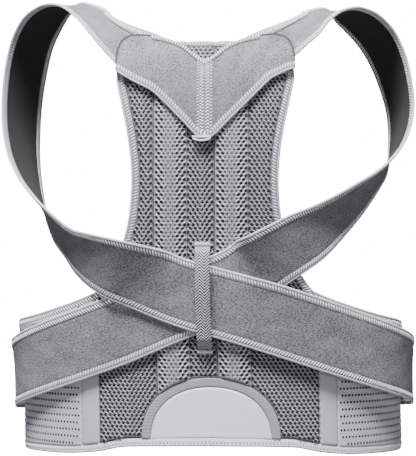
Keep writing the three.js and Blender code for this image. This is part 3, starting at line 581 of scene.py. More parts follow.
# %% Node group helpers
def new_group(name, inputs, outputs):
    """An empty shader node group: inputs are (name, kind, value), outputs are (name, kind)."""
    group = bpy.data.node_groups.new(name, "ShaderNodeTree")
    for label, kind, value in inputs:
        socket = group.interface.new_socket(label, in_out="INPUT", socket_type=kind)
        if value is not None:
            socket.default_value = value
    for label, kind in outputs:
        group.interface.new_socket(label, in_out="OUTPUT", socket_type=kind)
    return group, group.nodes.new("NodeGroupInput"), group.nodes.new("NodeGroupOutput")


def math_node(tree, operation, first, second=None):
    node = tree.nodes.new("ShaderNodeMath")
    node.operation = operation
    for socket, value in zip(node.inputs, (first, second)):
        if isinstance(value, (int, float)):
            socket.default_value = value
        elif value is not None:
            tree.links.new(value, socket)
    return node.outputs[0]


def noise_node(tree, vector, scale, detail=2.0, roughness=0.5):
    node = tree.nodes.new("ShaderNodeTexNoise")
    tree.links.new(vector, node.inputs["Vector"])
    node.inputs["Detail"].default_value = detail
    node.inputs["Roughness"].default_value = roughness
    if isinstance(scale, (int, float)):
        node.inputs["Scale"].default_value = scale
    else:
        tree.links.new(scale, node.inputs["Scale"])
    return node.outputs["Fac"]


# %% The brushed nap of the felt
def make_nap():
    group, given, result = new_group(
        "nap", [("Vector", "NodeSocketVector", None), ("Grain", "NodeSocketFloat", 900.0),
                ("Cloud", "NodeSocketFloat", 60.0)],
        [("Shade", "NodeSocketFloat"), ("Height", "NodeSocketFloat")])
    vector = given.outputs["Vector"]
    grain = noise_node(group, vector, given.outputs["Grain"], 3.0, 0.65)
    tuft = noise_node(group, vector, math_node(group, "MULTIPLY", given.outputs["Grain"], 0.45), 2.0)
    cloud = noise_node(group, vector, given.outputs["Cloud"], 3.0, 0.6)
    fine = math_node(group, "ADD", math_node(group, "MULTIPLY", grain, 0.6),
                     math_node(group, "MULTIPLY", tuft, 0.4))
    shade = math_node(group, "ADD", math_node(group, "MULTIPLY", fine, 0.85),
                      math_node(group, "MULTIPLY", cloud, 0.15))
    group.links.new(shade, result.inputs["Shade"])
    group.links.new(fine, result.inputs["Height"])
    return group


# %% Ribs along or across a band, as in tape, elastic and webbing
def make_rib():
    group, given, result = new_group(
        "rib", [("Vector", "NodeSocketVector", None), ("Along", "NodeSocketFloat", 0.0),
                ("Across", "NodeSocketFloat", 1500.0)],
        [("Shade", "NodeSocketFloat"), ("Height", "NodeSocketFloat")])
    split = group.nodes.new("ShaderNodeSeparateXYZ")
    group.links.new(given.outputs["Vector"], split.inputs[0])
    waves = []
    for axis, rate in ((0, "Across"), (1, "Along")):
        turn = math_node(group, "MULTIPLY", split.outputs[axis], given.outputs[rate])
        wave = math_node(group, "ADD", math_node(group, "MULTIPLY", math_node(group, "SINE", turn), 0.5), 0.5)
        waves.append(wave)
    woven = math_node(group, "MULTIPLY", waves[0], waves[1])
    speck = noise_node(group, given.outputs["Vector"], 2500.0, 2.0)
    height = math_node(group, "ADD", math_node(group, "MULTIPLY", woven, 0.8),
                       math_node(group, "MULTIPLY", speck, 0.2))
    group.links.new(height, result.inputs["Height"])
    group.links.new(height, result.inputs["Shade"])
    return group


# %% A herringbone: diagonal ribs that turn back at every column
def make_herringbone():
    group, given, result = new_group(
        "herringbone", [("Vector", "NodeSocketVector", None), ("Column", "NodeSocketFloat", 0.0035),
                        ("Pitch", "NodeSocketFloat", 0.0016)],
        [("Shade", "NodeSocketFloat"), ("Height", "NodeSocketFloat")])
    split = group.nodes.new("ShaderNodeSeparateXYZ")
    group.links.new(given.outputs["Vector"], split.inputs[0])
    zigzag = math_node(group, "PINGPONG", split.outputs[0], given.outputs["Column"])
    slant = math_node(group, "ADD", split.outputs[1], zigzag)
    turn = math_node(group, "DIVIDE", slant, given.outputs["Pitch"])
    wave = math_node(group, "SINE", math_node(group, "MULTIPLY", turn, 2 * math.pi))
    height = math_node(group, "ADD", math_node(group, "MULTIPLY", wave, 0.5), 0.5)
    group.links.new(height, result.inputs["Height"])
    group.links.new(height, result.inputs["Shade"])
    return group


GROUPS = {"nap": make_nap(), "rib": make_rib(), "herringbone": make_herringbone()}


# %% One material from a group
def cloth_material(name, dark, light, group, depth, roughness=0.9, sheen=0.15, low=0.25, high=0.75,
                   mapped=True, tint=(1.0, 0.98, 1.11), **rates):
    """A cloth: two greys mixed by the group's shade and tinted, and its height as a bump in metres.
    Its pattern lies on the UV map, or on Object coordinates for threads, which have no map."""
    material = bpy.data.materials.new(name)
    material.use_nodes = True
    tree = material.node_tree
    shader = tree.nodes["Principled BSDF"]
    if mapped:
        place = tree.nodes.new("ShaderNodeUVMap")
        place.uv_map = "UVMap"
    else:
        place = tree.nodes.new("ShaderNodeTexCoord")
    effect = tree.nodes.new("ShaderNodeGroup")
    effect.node_tree = GROUPS[group]
    tree.links.new(place.outputs["UV" if mapped else "Object"], effect.inputs["Vector"])
    for label, value in rates.items():
        effect.inputs[label.capitalize()].default_value = value
    ramp = tree.nodes.new("ShaderNodeValToRGB")
    ramp.color_ramp.elements[0].position = low
    ramp.color_ramp.elements[0].color = [dark * share for share in tint] + [1]
    ramp.color_ramp.elements[1].position = high
    ramp.color_ramp.elements[1].color = [light * share for share in tint] + [1]
    tree.links.new(effect.outputs["Shade"], ramp.inputs["Fac"])
    tree.links.new(ramp.outputs["Color"], shader.inputs["Base Color"])
    bump = tree.nodes.new("ShaderNodeBump")
    bump.inputs["Distance"].default_value = depth
    bump.inputs["Strength"].default_value = 1.0
    tree.links.new(effect.outputs["Height"], bump.inputs["Height"])
    tree.links.new(bump.outputs["Normal"], shader.inputs["Normal"])
    shader.inputs["Roughness"].default_value = roughness
    shader.inputs["Sheen Weight"].default_value = sheen
    shader.inputs["Sheen Roughness"].default_value = 0.6
    return material


FELT = cloth_material("felt_face", 0.03, 0.29, "nap", 0.0008, low=0.42, high=0.58, grain=1250.0, cloud=40.0)
LINING = cloth_material("felt_lining", 0.004, 0.02, "nap", 0.0004, sheen=0.02, grain=700.0)
# one mesh in two copies: the panel's is darker, painted shade, and the pockets' lighter, painted light where
# their crowns face the lamp
SHADED_KNIT = cloth_material("mesh_knit_shaded", 0.05, 0.17, "rib", 0.0003, across=2900.0, along=3600.0)
LIT_POCKET_KNIT = cloth_material("pocket_knit_lit", 0.22, 0.46, "rib", 0.0003, across=2900.0, along=3600.0)
TAPE = cloth_material("edge_tape", 0.42, 0.74, "rib", 0.0002, across=5200.0, along=5200.0)
ELASTIC = cloth_material("elastic_rib", 0.46, 0.64, "rib", 0.0003, across=5500.0, along=950.0)
WEBBING = cloth_material("keeper_weave", 0.01, 0.58, "herringbone", 0.0009, column=0.0045, pitch=0.0028)
PLAIN = cloth_material("plain_cloth", 0.40, 0.58, "rib", 0.0002, across=6000.0, along=6000.0)
BORDER = cloth_material("patch_border_cloth", 0.22, 0.44, "rib", 0.00015, tint=(0.96, 1.0, 1.02),
                        across=0.0, along=1900.0)
PATCH = cloth_material("patch_coat", 0.65, 0.73, "nap", 0.00005, 0.5, 0.0, tint=(0.93, 1.01, 1.06),
                       grain=300.0, cloud=12.0)
HOOK = cloth_material("hook_tape", 0.01, 0.05, "rib", 0.0006, across=4500.0, along=4500.0)
# the same tape cloth as edge_tape, darker: painted shade between the stitches, and in the tip tab's fold
SHADED_GROUND = cloth_material("sewn_ground_shade", 0.16, 0.34, "rib", 0.0002, across=4200.0, along=4200.0)
KNIT_RIM = cloth_material("mesh_yarn", 0.21, 0.40, "nap", 0.0002, mapped=False)
ELASTIC_RIM = cloth_material("elastic_yarn", 0.46, 0.62, "nap", 0.0001, mapped=False)
THREAD = cloth_material("thread", 0.68, 0.84, "nap", 0.0001, 0.75, 0.1, mapped=False)
# painted shadow: the dark of the gap round each wing's end
GAP_SHADOW = cloth_material("painted_gap_shadow", 0.03, 0.07, "nap", 0.0002, 1.0, 0.0)
# one yarn in two copies: a painted highlight on the pockets' flanks, and painted shade on the panel
YARN_HIGHLIGHT = cloth_material("yarn_highlight", 0.56, 0.80, "nap", 0.0001, mapped=False)
SHADED_YARN = cloth_material("yarn_shaded", 0.27, 0.47, "nap", 0.0001, mapped=False)
# painted shade in the holes of the pockets' middles, lighter than hole_shadow where the crown faces the lamp
SHADE = cloth_material("pocket_hole_shade", 0.05, 0.10, "nap", 0.0001, 1.0, 0.0, mapped=False)
DARK = cloth_material("hole_shadow", 0.006, 0.02, "nap", 0.0001, 1.0, 0.0, mapped=False)

# %% [markdown]
# ## Stitches with Geometry Nodes
# An overlocked edge shows hundreds of slanted threads. Copying them by hand or with an Array would
# not follow a bent edge. Here a node tree does it: the edge's line becomes a curve, the curve gives
# one point per stitch, and a small rice-shaped thread is set on each point, turned to the edge.

# %% Helpers for a node tree
def new_tree(name, sockets):
    """A Geometry Nodes tree with a geometry in and out, and named inputs of its own."""
    tree = bpy.data.node_groups.new(name, "GeometryNodeTree")
    tree.interface.new_socket("Geometry", in_out="INPUT", socket_type="NodeSocketGeometry")
    for label, kind, value in sockets:
        socket = tree.interface.new_socket(label, in_out="INPUT", socket_type=kind)
        if value is not None:
            socket.default_value = value
    tree.interface.new_socket("Geometry", in_out="OUTPUT", socket_type="NodeSocketGeometry")
    return tree, tree.nodes.new("NodeGroupInput"), tree.nodes.new("NodeGroupOutput")


def tree_node(tree, kind, links=None, **settings):
    """One node: its settings are properties, and links fill its inputs with sockets or values."""
    node = tree.nodes.new(kind)
    for key, value in settings.items():
        setattr(node, key, value)
    for key, value in (links or {}).items():
        if isinstance(value, bpy.types.NodeSocket):
            tree.links.new(value, node.inputs[key])
        else:
            node.inputs[key].default_value = value
    return node


def facing(tree):
    """The turn that stands a shape on the cloth: Z along its normal, X along its row."""
    out = tree_node(tree, "GeometryNodeInputNamedAttribute", {"Name": "out"}, data_type="FLOAT_VECTOR")
    row = tree_node(tree, "GeometryNodeInputNamedAttribute", {"Name": "row"}, data_type="FLOAT_VECTOR")
    turn = tree_node(tree, "FunctionNodeAxesToRotation", {0: out.outputs[0], 1: row.outputs[0]},
                     primary_axis="Z", secondary_axis="X")
    return turn.outputs[0]


def run_tree(name, tree, points, attributes, edges, **values):
    """Puts the tree on a helper mesh, sets its inputs by identifier and keeps the plain result."""
    mesh = bpy.data.meshes.new(name)
    mesh.from_pydata(((np.asarray(points) - [0, 0, WAIST_LEVEL]) * MILLI).tolist(), edges, [])
    for label, vectors in attributes.items():
        layer = mesh.attributes.new(label, "FLOAT_VECTOR", "POINT")
        layer.data.foreach_set("vector", np.asarray(vectors, float).ravel())
    helper = bpy.data.objects.new(name + "_helper", mesh)
    bpy.context.scene.collection.objects.link(helper)
    modifier = helper.modifiers.new("tree", "NODES")
    modifier.node_group = tree
    names = {item.name: item.identifier for item in tree.interface.items_tree if item.in_out == "INPUT"}
    for label, value in values.items():
        modifier[names[label]] = value
    depsgraph = bpy.context.evaluated_depsgraph_get()
    result = bpy.data.meshes.new_from_object(helper.evaluated_get(depsgraph))
    bpy.data.objects.remove(helper)
    bpy.data.meshes.remove(mesh)
    result.name = name
    piece = bpy.data.objects.new(name, result)
    bpy.context.scene.collection.objects.link(piece)
    return piece


# %% The stitch tree
def make_stitch_tree():
    tree, given, result = new_tree("stitch_row", [
        ("Pitch", "NodeSocketFloat", 0.0036), ("Length", "NodeSocketFloat", 0.005),
        ("Width", "NodeSocketFloat", 0.0014), ("Height", "NodeSocketFloat", 0.0008),
        ("Slant", "NodeSocketFloat", 0.5), ("Seed", "NodeSocketInt", 1),
        ("Thread", "NodeSocketMaterial", None)])
    curve = tree_node(tree, "GeometryNodeMeshToCurve", {"Mesh": given.outputs["Geometry"]})
    evenly = tree_node(tree, "GeometryNodeResampleCurve",
                       {"Curve": curve.outputs[0], "Length": given.outputs["Pitch"]}, mode="LENGTH")
    thread = tree_node(tree, "GeometryNodeMeshUVSphere", {"Segments": 6, "Rings": 4, "Radius": 0.5})
    size = tree_node(tree, "ShaderNodeCombineXYZ", {0: given.outputs["Width"], 1: given.outputs["Length"],
                                                    2: given.outputs["Height"]})
    uneven = tree_node(tree, "FunctionNodeRandomValue", {2: 0.92, 3: 1.08, "Seed": given.outputs["Seed"]},
                       data_type="FLOAT")
    scale = tree_node(tree, "ShaderNodeVectorMath", {0: size.outputs[0], 1: uneven.outputs[1]},
                      operation="MULTIPLY")
    lean = tree_node(tree, "ShaderNodeCombineXYZ", {2: given.outputs["Slant"]})
    slant = tree_node(tree, "FunctionNodeEulerToRotation", {0: lean.outputs[0]})
    turn = tree_node(tree, "FunctionNodeRotateRotation", {0: facing(tree), 1: slant.outputs[0]},
                     rotation_space="LOCAL")
    placed = tree_node(tree, "GeometryNodeInstanceOnPoints", {
        "Points": evenly.outputs[0], "Instance": thread.outputs[0], "Rotation": turn.outputs[0],
        "Scale": scale.outputs[0]})
    real = tree_node(tree, "GeometryNodeRealizeInstances", {0: placed.outputs[0]})
    soft = tree_node(tree, "GeometryNodeSetShadeSmooth", {0: real.outputs[0], "Shade Smooth": True})
    done = tree_node(tree, "GeometryNodeSetMaterial",
                     {0: soft.outputs[0], "Material": given.outputs["Thread"]})
    tree.links.new(done.outputs[0], result.inputs[0])
    return tree


# %% The hole tree: a raised rim, a dark disc inside it, and a strand of yarn beside it
def make_hole_tree():
    tree, given, result = new_tree("hole", [
        ("Radius", "NodeSocketFloat", 0.0011), ("Rim", "NodeSocketFloat", 0.0005),
        ("Stretch", "NodeSocketFloat", 1.0), ("Strand", "NodeSocketFloat", 0.0002),
        ("Apart", "NodeSocketFloat", 0.002), ("Seed", "NodeSocketInt", 1),
        ("Yarn", "NodeSocketMaterial", None), ("Shadow", "NodeSocketMaterial", None),
        ("Strands", "NodeSocketMaterial", None)])
    middle = tree_node(tree, "ShaderNodeMath", {0: given.outputs["Radius"], 1: given.outputs["Rim"]},
                       operation="ADD")
    path = tree_node(tree, "GeometryNodeCurvePrimitiveCircle", {"Resolution": 8, "Radius": middle.outputs[0]})
    section = tree_node(tree, "GeometryNodeCurvePrimitiveCircle",
                        {"Resolution": 3, "Radius": given.outputs["Rim"]})
    rim = tree_node(tree, "GeometryNodeCurveToMesh", {0: path.outputs[0], 1: section.outputs[0]})
    disc = tree_node(tree, "GeometryNodeMeshCylinder",
                     {"Vertices": 8, "Radius": middle.outputs[0], "Depth": 0.0001}, fill_type="NGON")
    ball = tree_node(tree, "GeometryNodeMeshUVSphere", {"Segments": 6, "Rings": 4, "Radius": 1.0})
    length = tree_node(tree, "ShaderNodeMath", {0: given.outputs["Radius"], 1: 1.5}, operation="MULTIPLY")
    slim = tree_node(tree, "ShaderNodeCombineXYZ", {0: given.outputs["Strand"], 1: length.outputs[0],
                                                    2: given.outputs["Strand"]})
    beside = tree_node(tree, "ShaderNodeCombineXYZ", {0: given.outputs["Apart"]})
    strand = tree_node(tree, "GeometryNodeTransform", {"Geometry": ball.outputs[0], "Scale": slim.outputs[0],
                                                       "Translation": beside.outputs[0]})
    long = tree_node(tree, "ShaderNodeCombineXYZ", {0: 1.0, 1: given.outputs["Stretch"], 2: 1.0})
    turn = facing(tree)
    uneven = tree_node(tree, "FunctionNodeRandomValue", {2: 0.93, 3: 1.07, "Seed": given.outputs["Seed"]},
                       data_type="FLOAT")
    size = tree_node(tree, "ShaderNodeVectorMath", {0: long.outputs[0], 1: uneven.outputs[1]},
                     operation="MULTIPLY")
    parts = []
    for shape, finish in ((rim, "Yarn"), (disc, "Shadow"), (strand, "Strands")):
        placed = tree_node(tree, "GeometryNodeInstanceOnPoints", {
            "Points": given.outputs["Geometry"], "Instance": shape.outputs[0], "Rotation": turn,
            "Scale": size.outputs[0]})
        real = tree_node(tree, "GeometryNodeRealizeInstances", {0: placed.outputs[0]})
        parts.append(tree_node(tree, "GeometryNodeSetMaterial",
                               {0: real.outputs[0], "Material": given.outputs[finish]}))
    whole = tree_node(tree, "GeometryNodeJoinGeometry")
    for part in reversed(parts):
        tree.links.new(part.outputs[0], whole.inputs[0])
    soft = tree_node(tree, "GeometryNodeSetShadeSmooth", {0: whole.outputs[0], "Shade Smooth": True})
    tree.links.new(soft.outputs[0], result.inputs[0])
    return tree


STITCH_TREE = make_stitch_tree()
HOLE_TREE = make_hole_tree()
print("trees:", STITCH_TREE.name, HOLE_TREE.name)

# %% [markdown]
# ## The mesh back panel
# The panel is air mesh: two knitted faces held apart by a springy pile. It is cut wide at the belt,
# waisted in the middle and wide again at the shoulders. It could be modelled flat and shrink-wrapped
# onto a body, but the sections already say where every point of the back lies.

# %% Back panel
PANEL_ROWS, PANEL_COLUMNS = 180, 210
INSET_LOW, INSET_HIGH = PANEL_TAPE_END - 5, PANEL_TAPE_END - 3
PANEL_PUFF, PANEL_SINK = 1.1, 0.3        # how far a channel rises, and how far its seams are drawn in


def panel_half(z):
    return PANEL_HALF * look_up(PANEL_OUTLINE, z / PANEL_TOP, 1)


def panel_inset(z):
    return (TAPE_WIDTH + TAPE_GAP) * smooth_step(z, INSET_LOW, INSET_HIGH)


def arc_of(x):
    flat = back_point(np.abs(x), BELT_LEVEL, 0.0)
    return arc_at(angle_of(flat))


def hem_top(x):
    return hem_height(arc_of(x)) + HEM_TAPE + TAPE_GAP


def panel_point(v, u):
    side = 2 * u - 1
    z = hem_top(side * PANEL_HALF) * (1 - v) + PANEL_TOP * v
    return back_point(side * (panel_half(z) - panel_inset(z)), z, PANEL_MIDDLE)


def seam_lines(z):
    """The four sewn seams and the panel's two edges, from left to right, at a height."""
    edge = panel_half(z) - panel_inset(z)
    seams = [POCKET_SHIFT + side * POCKET_GAP / 2 + side * far * POCKET_WIDTH
             for side, far in ((-1, 1), (-1, 0), (1, 0), (1, 1))]
    return np.stack([-edge] + [np.full_like(z, seam) for seam in seams] + [edge])


def channel_share(x, z):
    """Where a point lies in its channel: -1 at its left seam, 1 at its right one."""
    lines = seam_lines(z)
    channel = np.clip((x[None] >= lines).sum(axis=0) - 1, 0, len(lines) - 2)
    low = np.take_along_axis(lines, channel[None], 0)[0]
    high = np.take_along_axis(lines, channel[None] + 1, 0)[0]
    return np.clip(2 * (x - low) / np.maximum(high - low, 1) - 1, -1, 1)


def pillow(share, height):
    """A padded channel's rise, steep beside its seams and nearly flat in the middle."""
    return height * np.maximum(1 - np.abs(share) ** 4, 0) ** 0.6


v, u = np.meshgrid(np.linspace(0, 1, PANEL_ROWS + 1), np.linspace(0, 1, PANEL_COLUMNS + 1), indexing="ij")
panel_z = hem_top((2 * u - 1) * PANEL_HALF) * (1 - v) + PANEL_TOP * v
panel_x = (2 * u - 1) * (panel_half(panel_z) - panel_inset(panel_z))
half_wall = rounded(PANEL_ROWS + 1, PANEL_COLUMNS + 1, PANEL_WALL, 1, 1)
rise = pillow(channel_share(panel_x, panel_z), PANEL_PUFF) - PANEL_SINK
# the panel wears the darker copy of the knit: painted shade
back_mesh = sheet_piece("back_mesh", surface(PANEL_ROWS, PANEL_COLUMNS, panel_point),
                        half_wall + rise, -half_wall, [SHADED_KNIT])
declare(back_mesh, ["back_panel"], "mesh", flat=(214, 392), area=0.063, held="stretched")
print("back mesh:", len(back_mesh.data.polygons), "faces")

# %% [markdown]
# ## Padded stay pockets
# Two channels of the same mesh stand a little proud of the panel, each with a soft pad and a flat
# stay inside. A cushion simulation would round them, but they are only a few millimetres high, so a
# formula does: it rises steeply beside each sewn edge and is nearly flat in the middle.

# %% Yoke edges, and the pockets that run up under them
def wing_top(x):
    return YOKE_TIP + YOKE_HEIGHT * look_up(WING, np.abs(x) / WING_LENGTH, 1)


def wing_bottom(x):
    share = np.abs(x) / WING_LENGTH
    fall = np.where(np.asarray(x) < 0, look_up(WING, share, 2), look_up(WING, share, 3))
    return YOKE_TIP + YOKE_HEIGHT * fall


def beside_bottom(x, distance):
    """Heights of a line that keeps its distance from a wing's bottom edge."""
    slope = (wing_bottom(x + 1) - wing_bottom(x - 1)) / 2
    return wing_bottom(x) + distance * np.hypot(1, slope)


def patch_top(x, inset):
    share = np.minimum(np.abs(x - PATCH_SHIFT) / (PATCH_WIDTH / 2 - inset), 1)
    return (PATCH_HEIGHT - inset) * (1 - share**PATCH_POWER) ** (1 / PATCH_POWER)


def pocket_spot(side, v, u):
    x = POCKET_SHIFT + side * (POCKET_GAP / 2 + u * POCKET_WIDTH)
    foot = hem_top(x) + patch_top(x, 0) + LAYER_GAP
    return x, foot * (1 - v) + beside_bottom(x, POCKET_TUCK) * v


POCKET_RIM = 0.1              # how thick a pocket is at its sewn edges


def pocket_lift(u):
    return POCKET_RIM + pillow(2 * u - 1, POCKET_RISE - POCKET_RIM)


def make_pocket(side, name):
    def inner(v, u):
        x, z = pocket_spot(side, v, u)
        return back_point(x, z, POCKET_BASE)

    lift = pocket_lift(np.linspace(0, 1, 31))
    # the pockets wear the lighter copy of the same knit: painted light
    piece = sheet_piece("pocket_" + name, surface(120, 30, inner), lift, 0.0, [LIT_POCKET_KNIT])
    declare(piece, ["stay_pocket_" + name], "mesh")


make_pocket(-1, "left")
make_pocket(1, "right")

# %% [markdown]
# ## Bound edges
# Every cut edge is bound: a folded tape is sewn over it, and the fold stands up as a smooth roll
# beside the flat sewn part. The section below is that shape, and it is swept along each edge. A
# curve with a bevel could do it, but a grid keeps the tape level with the cloth next to it.

# %% Joining, and the section of a bound edge
def join_pieces(name, pieces):
    """Several plain meshes as one piece."""
    whole = pieces[0]
    if len(pieces) > 1:
        with bpy.context.temp_override(active_object=whole, object=whole, selected_objects=pieces,
                                       selected_editable_objects=pieces):
            bpy.ops.object.join()
    whole.name = name
    return whole


def bound_profile(count, flat=1.15, roll=1.4):
    """Half-thickness of the tape from its sewn edge (first) to its rolled edge (last)."""
    u = np.linspace(0, 1, count)
    bead = roll * np.sqrt(np.maximum(1 - ((u - 0.82) / 0.18) ** 2, 0))
    return np.maximum(np.where(u < 0.7, flat, 0.35), bead)


EDGES = {}                    # the surface of each bound edge, kept for the stitches
SEWN_SHARE = 0.68
BINDING_LAP = 4.0             # how far the panel's binding goes down behind the belt's


def tape_piece(name, nodes, rows, point_at, columns=14, ground=None):
    """A bound edge. point_at takes shares along it and shares across, the rolled edge last."""
    EDGES[name] = point_at
    profile = bound_profile(columns + 1)
    points = surface(rows, columns, point_at)
    sewn = (np.arange(columns) < SEWN_SHARE * columns).astype(int)
    # the sewn part takes the darker ground: painted shade between the stitches
    piece = sheet_piece(name, points, profile, -profile, [TAPE, ground or SHADED_GROUND], slot=sewn)
    return declare(piece, nodes, "tape")


for side, name in ((-1, "left"), (1, "right")):
    def panel_edge(v, u, side=side):
        z = (PANEL_TAPE_END - BINDING_LAP) * (1 - v) + PANEL_TOP * v
        return back_point(side * (panel_half(z) - (1 - u) * (TAPE_WIDTH + TAPE_GAP)), z, PANEL_MIDDLE)

    tape_piece("panel_binding_" + name, ["panel_tape_" + name], 150, panel_edge)

# %% [markdown]
# ## The yoke
# Two wings of brushed felt are seamed along the spine and stand over the mesh. Their lower edges
# are bound and come to a point; their upper edges are turned under and pressed, so they only round
# off. A small folded tab peeks out below the point: two thick lips with a shaded fold between them.

# %% Wings, their bound edges, the centre seam and the tab
WING_ROUND = 6                # columns over which a wing thins out to its end
CENTRE_HALF = TAPE_WALL / 2 - 0.2
CENTRE_START = 0.02


def make_wing(side, name):
    start = SEAM_GAP / 2 + TAPE_WIDTH

    def felt_point(v, u):
        x = side * (start + (WING_LENGTH - start) * np.sin(u * math.pi / 2))
        low = beside_bottom(x, TAPE_WIDTH)
        return back_point(x, low * (1 - v) + wing_top(x) * v, WING_MIDDLE)

    def edge_point(v, u):
        x = side * (SEAM_GAP / 2 + v * (WING_LENGTH - SEAM_GAP / 2))
        return back_point(x, beside_bottom(x, (1 - u) * (TAPE_WIDTH + SEAM_GAP)), WING_MIDDLE)

    def centre_point(v, u):
        x = side * (CENTRE_START + u * (TAPE_WIDTH + 1.5 * SEAM_GAP))
        low = beside_bottom(x, TAPE_WIDTH)
        return back_point(x, low * (1 - v) + wing_top(x) * v, WING_MIDDLE)

    half = rounded(41, 81, FELT_WALL, 3, 0)
    half[0] = FELT_WALL / 2
    half[:, -WING_ROUND:] *= np.sqrt(1 - (np.arange(WING_ROUND) / (WING_ROUND - 0.5)) ** 2)[None, :]
    felt = sheet_piece("wing_" + name, surface(40, 80, felt_point), half, -half, [FELT])
    edge = tape_piece("wing_binding_" + name, ["yoke_edge_tape_" + name], 90, edge_point)
    centre = sheet_piece("centre_binding_" + name, surface(50, 8, centre_point), CENTRE_HALF, -CENTRE_HALF,
                         [SHADED_GROUND])
    EDGES["centre_binding_" + name] = centre_point
    declare(centre, ["yoke_centre_tape_" + name], "tape")
    declare(felt, ["yoke_wing_" + name], "felt", flat=(90, 95), area=0.0052, held="stretched",
            rests_on=["back_mesh"], with_pieces=[edge, centre])


TAB_BOW = 0.6                 # how far the tab's upper lip bows down
TAB_LIPS = ((TAB_BOW, 1.4), (TAB_DROP, 1.0))


def tab_spot(u, fall, rise, off):
    """A point on the small folded bar: the share along it, its height, and how far out it lies."""
    x = TAB_SHIFT + (u - 0.5) * TAB_WIDTH
    bow = np.sqrt(np.maximum(1 - (2 * u - 1) ** 2, 0))
    return back_point(x, YOKE_TIP + rise - fall * bow, WING_MIDDLE + TAPE_WALL / 2 + off)


def tab_lip(fall, rise):
    return lambda v, u: tab_spot(u, fall, rise + (v - 0.5) * TAB_LIP, TAB_WALL)


def tab_point(v, u):
    return tab_spot(u, TAB_DROP * (1 - v) + TAB_BOW * v, TAB_TUCK * (1 - v) + v, TAB_WALL / 2)


make_wing(-1, "left")
make_wing(1, "right")
tab_half = rounded(13, 25, TAB_WALL, 2, 3)
inside = sheet_piece("tab_inside", surface(12, 24, tab_point), tab_half, -tab_half, [SHADED_GROUND])
lip_half = rounded(9, 25, 2 * TAB_WALL, 4, 3)
lips = [sheet_piece("tab_lip", surface(8, 24, tab_lip(*lip)), lip_half, -lip_half, [THREAD])
        for lip in TAB_LIPS]
tab = join_pieces("tip_tab", [inside] + lips)
declare(tab, ["yoke_tip_tab"], "tape")

# %% [markdown]
# ## Lines and bands on the yoke
# Where a wing's end lies on the strap, a thin shaded gap shows round it; here that gap is a dark
# strip laid on the strap, a painted shadow. Along the yoke's upper edges runs a band of stitched
# ground, which really stands up, its ground painted darker as shade between the stitches. Both
# follow the wing's own edge.

# %% The painted shadow line round each wing's end, and the bands along the yoke's upper edges
LINE_WIDTH, LINE_START, LINE_HALF, LINE_LEVEL = 1.8, 0.62, 0.3, WING_MIDDLE + 0.8
BAND_WIDTH, BAND_LENGTH, TOP_BAND_HALF, BAND_EDGE, BAND_WALL = 4.6, 50.0, 36.0, 0.5, 1.1


def gap_shadow_line(side):
    """A dark strip painted as the gap's shadow where a wing's turned edge lies on the strap: along its top,
    round and down its end.
    """
    end = np.linspace(wing_top(WING_LENGTH), wing_bottom(side * WING_LENGTH), 5)[1:]
    line = Curve([[x, wing_top(x), 0] for x in np.linspace(LINE_START, 1.0, 12) * WING_LENGTH]
                 + [[WING_LENGTH, z, 0] for z in end])

    def point_at(v, u):
        place = line.at(line.evenly(v.ravel()))
        x = side * (place[:, 0].reshape(v.shape) + (u - 0.3) * LINE_WIDTH)
        z = place[:, 1].reshape(v.shape) + (u - 0.3) * LINE_WIDTH
        return back_point(x, z, LINE_LEVEL)
    return point_at


def wing_band(side):
    def point_at(v, u):
        x = side * (1.0 + v * BAND_LENGTH)
        z = wing_top(x) + BAND_EDGE - (1 - u) * BAND_WIDTH
        return back_point(x, z, WING_MIDDLE + FELT_WALL / 2 + 0.2)
    return point_at


def top_band(v, u):
    z = PANEL_TOP - BAND_EDGE - (1 - u) * BAND_WIDTH
    return back_point((2 * v - 1) * TOP_BAND_HALF, z, PANEL_WALL + 0.8)


bands = []
for side, name in ((-1, "left"), (1, "right")):
    # a dark strip on the strap that paints the shadow of the wing's edge
    line = sheet_piece("wing_gap_shadow_" + name, surface(60, 4, gap_shadow_line(side)), LINE_HALF, -LINE_HALF,
                       [GAP_SHADOW])
    declare(line, [], "felt")
    bands.append(("wing_band_" + name, wing_band(side)))
bands.append(("panel_top_band", top_band))
for name, point_at in bands:
    EDGES[name] = point_at
    half = rounded(61, 9, BAND_WALL, 1, 3)
    declare(sheet_piece(name, surface(60, 8, point_at), half, -half, [SHADED_GROUND]), [], "tape")

# %% [markdown]
# ## The crossing straps
# Each strap is one long band of felt with a dark lining, bound along both edges. It starts under a
# wing, goes over the shoulder, under the arm and across the back, and ends at the front of the belt.
# The two faces carry two materials, because the dark lining is what shows inside the loops.

# %% Straps
EDGE = STRAP_WIDTH / 2
STRAP_ROWS = 460


def make_strap(name):
    curves = STRAPS[name]

    def core_point(v, u):
        return strap_points(curves, v, (2 * u - 1) * (EDGE - TAPE_WIDTH))

    def tape_point(sign):
        return lambda v, u: strap_points(curves, v, sign * (EDGE - (1 - u) * (TAPE_WIDTH + TAPE_GAP)))

    half = rounded(STRAP_ROWS + 1, 25, FELT_WALL, 1, 4, edge=0.7)
    core = sheet_piece("strap_" + name, surface(STRAP_ROWS, 24, core_point), half, -half,
                       [FELT, LINING], inner_slot=1)
    outer, inner = [tape_piece("strap_%s_binding_%s" % (edge, name), ["strap_%s_tape_%s" % (edge, name)],
                               STRAP_ROWS, tape_point(sign)) for edge, sign in (("outer", 1), ("inner", -1))]
    length = curves[0].lengths[-1]
    declare(core, ["strap_%s_%s" % (part, name) for part in ("shoulder", "underarm", "waist")], "felt",
            flat=(STRAP_WIDTH, length), area=(STRAP_WIDTH - 2 * TAPE_WIDTH) * length * MILLI**2,
            held="stretched", rests_on=["back_mesh"], with_pieces=[outer, inner])


make_strap("left")
make_strap("right")

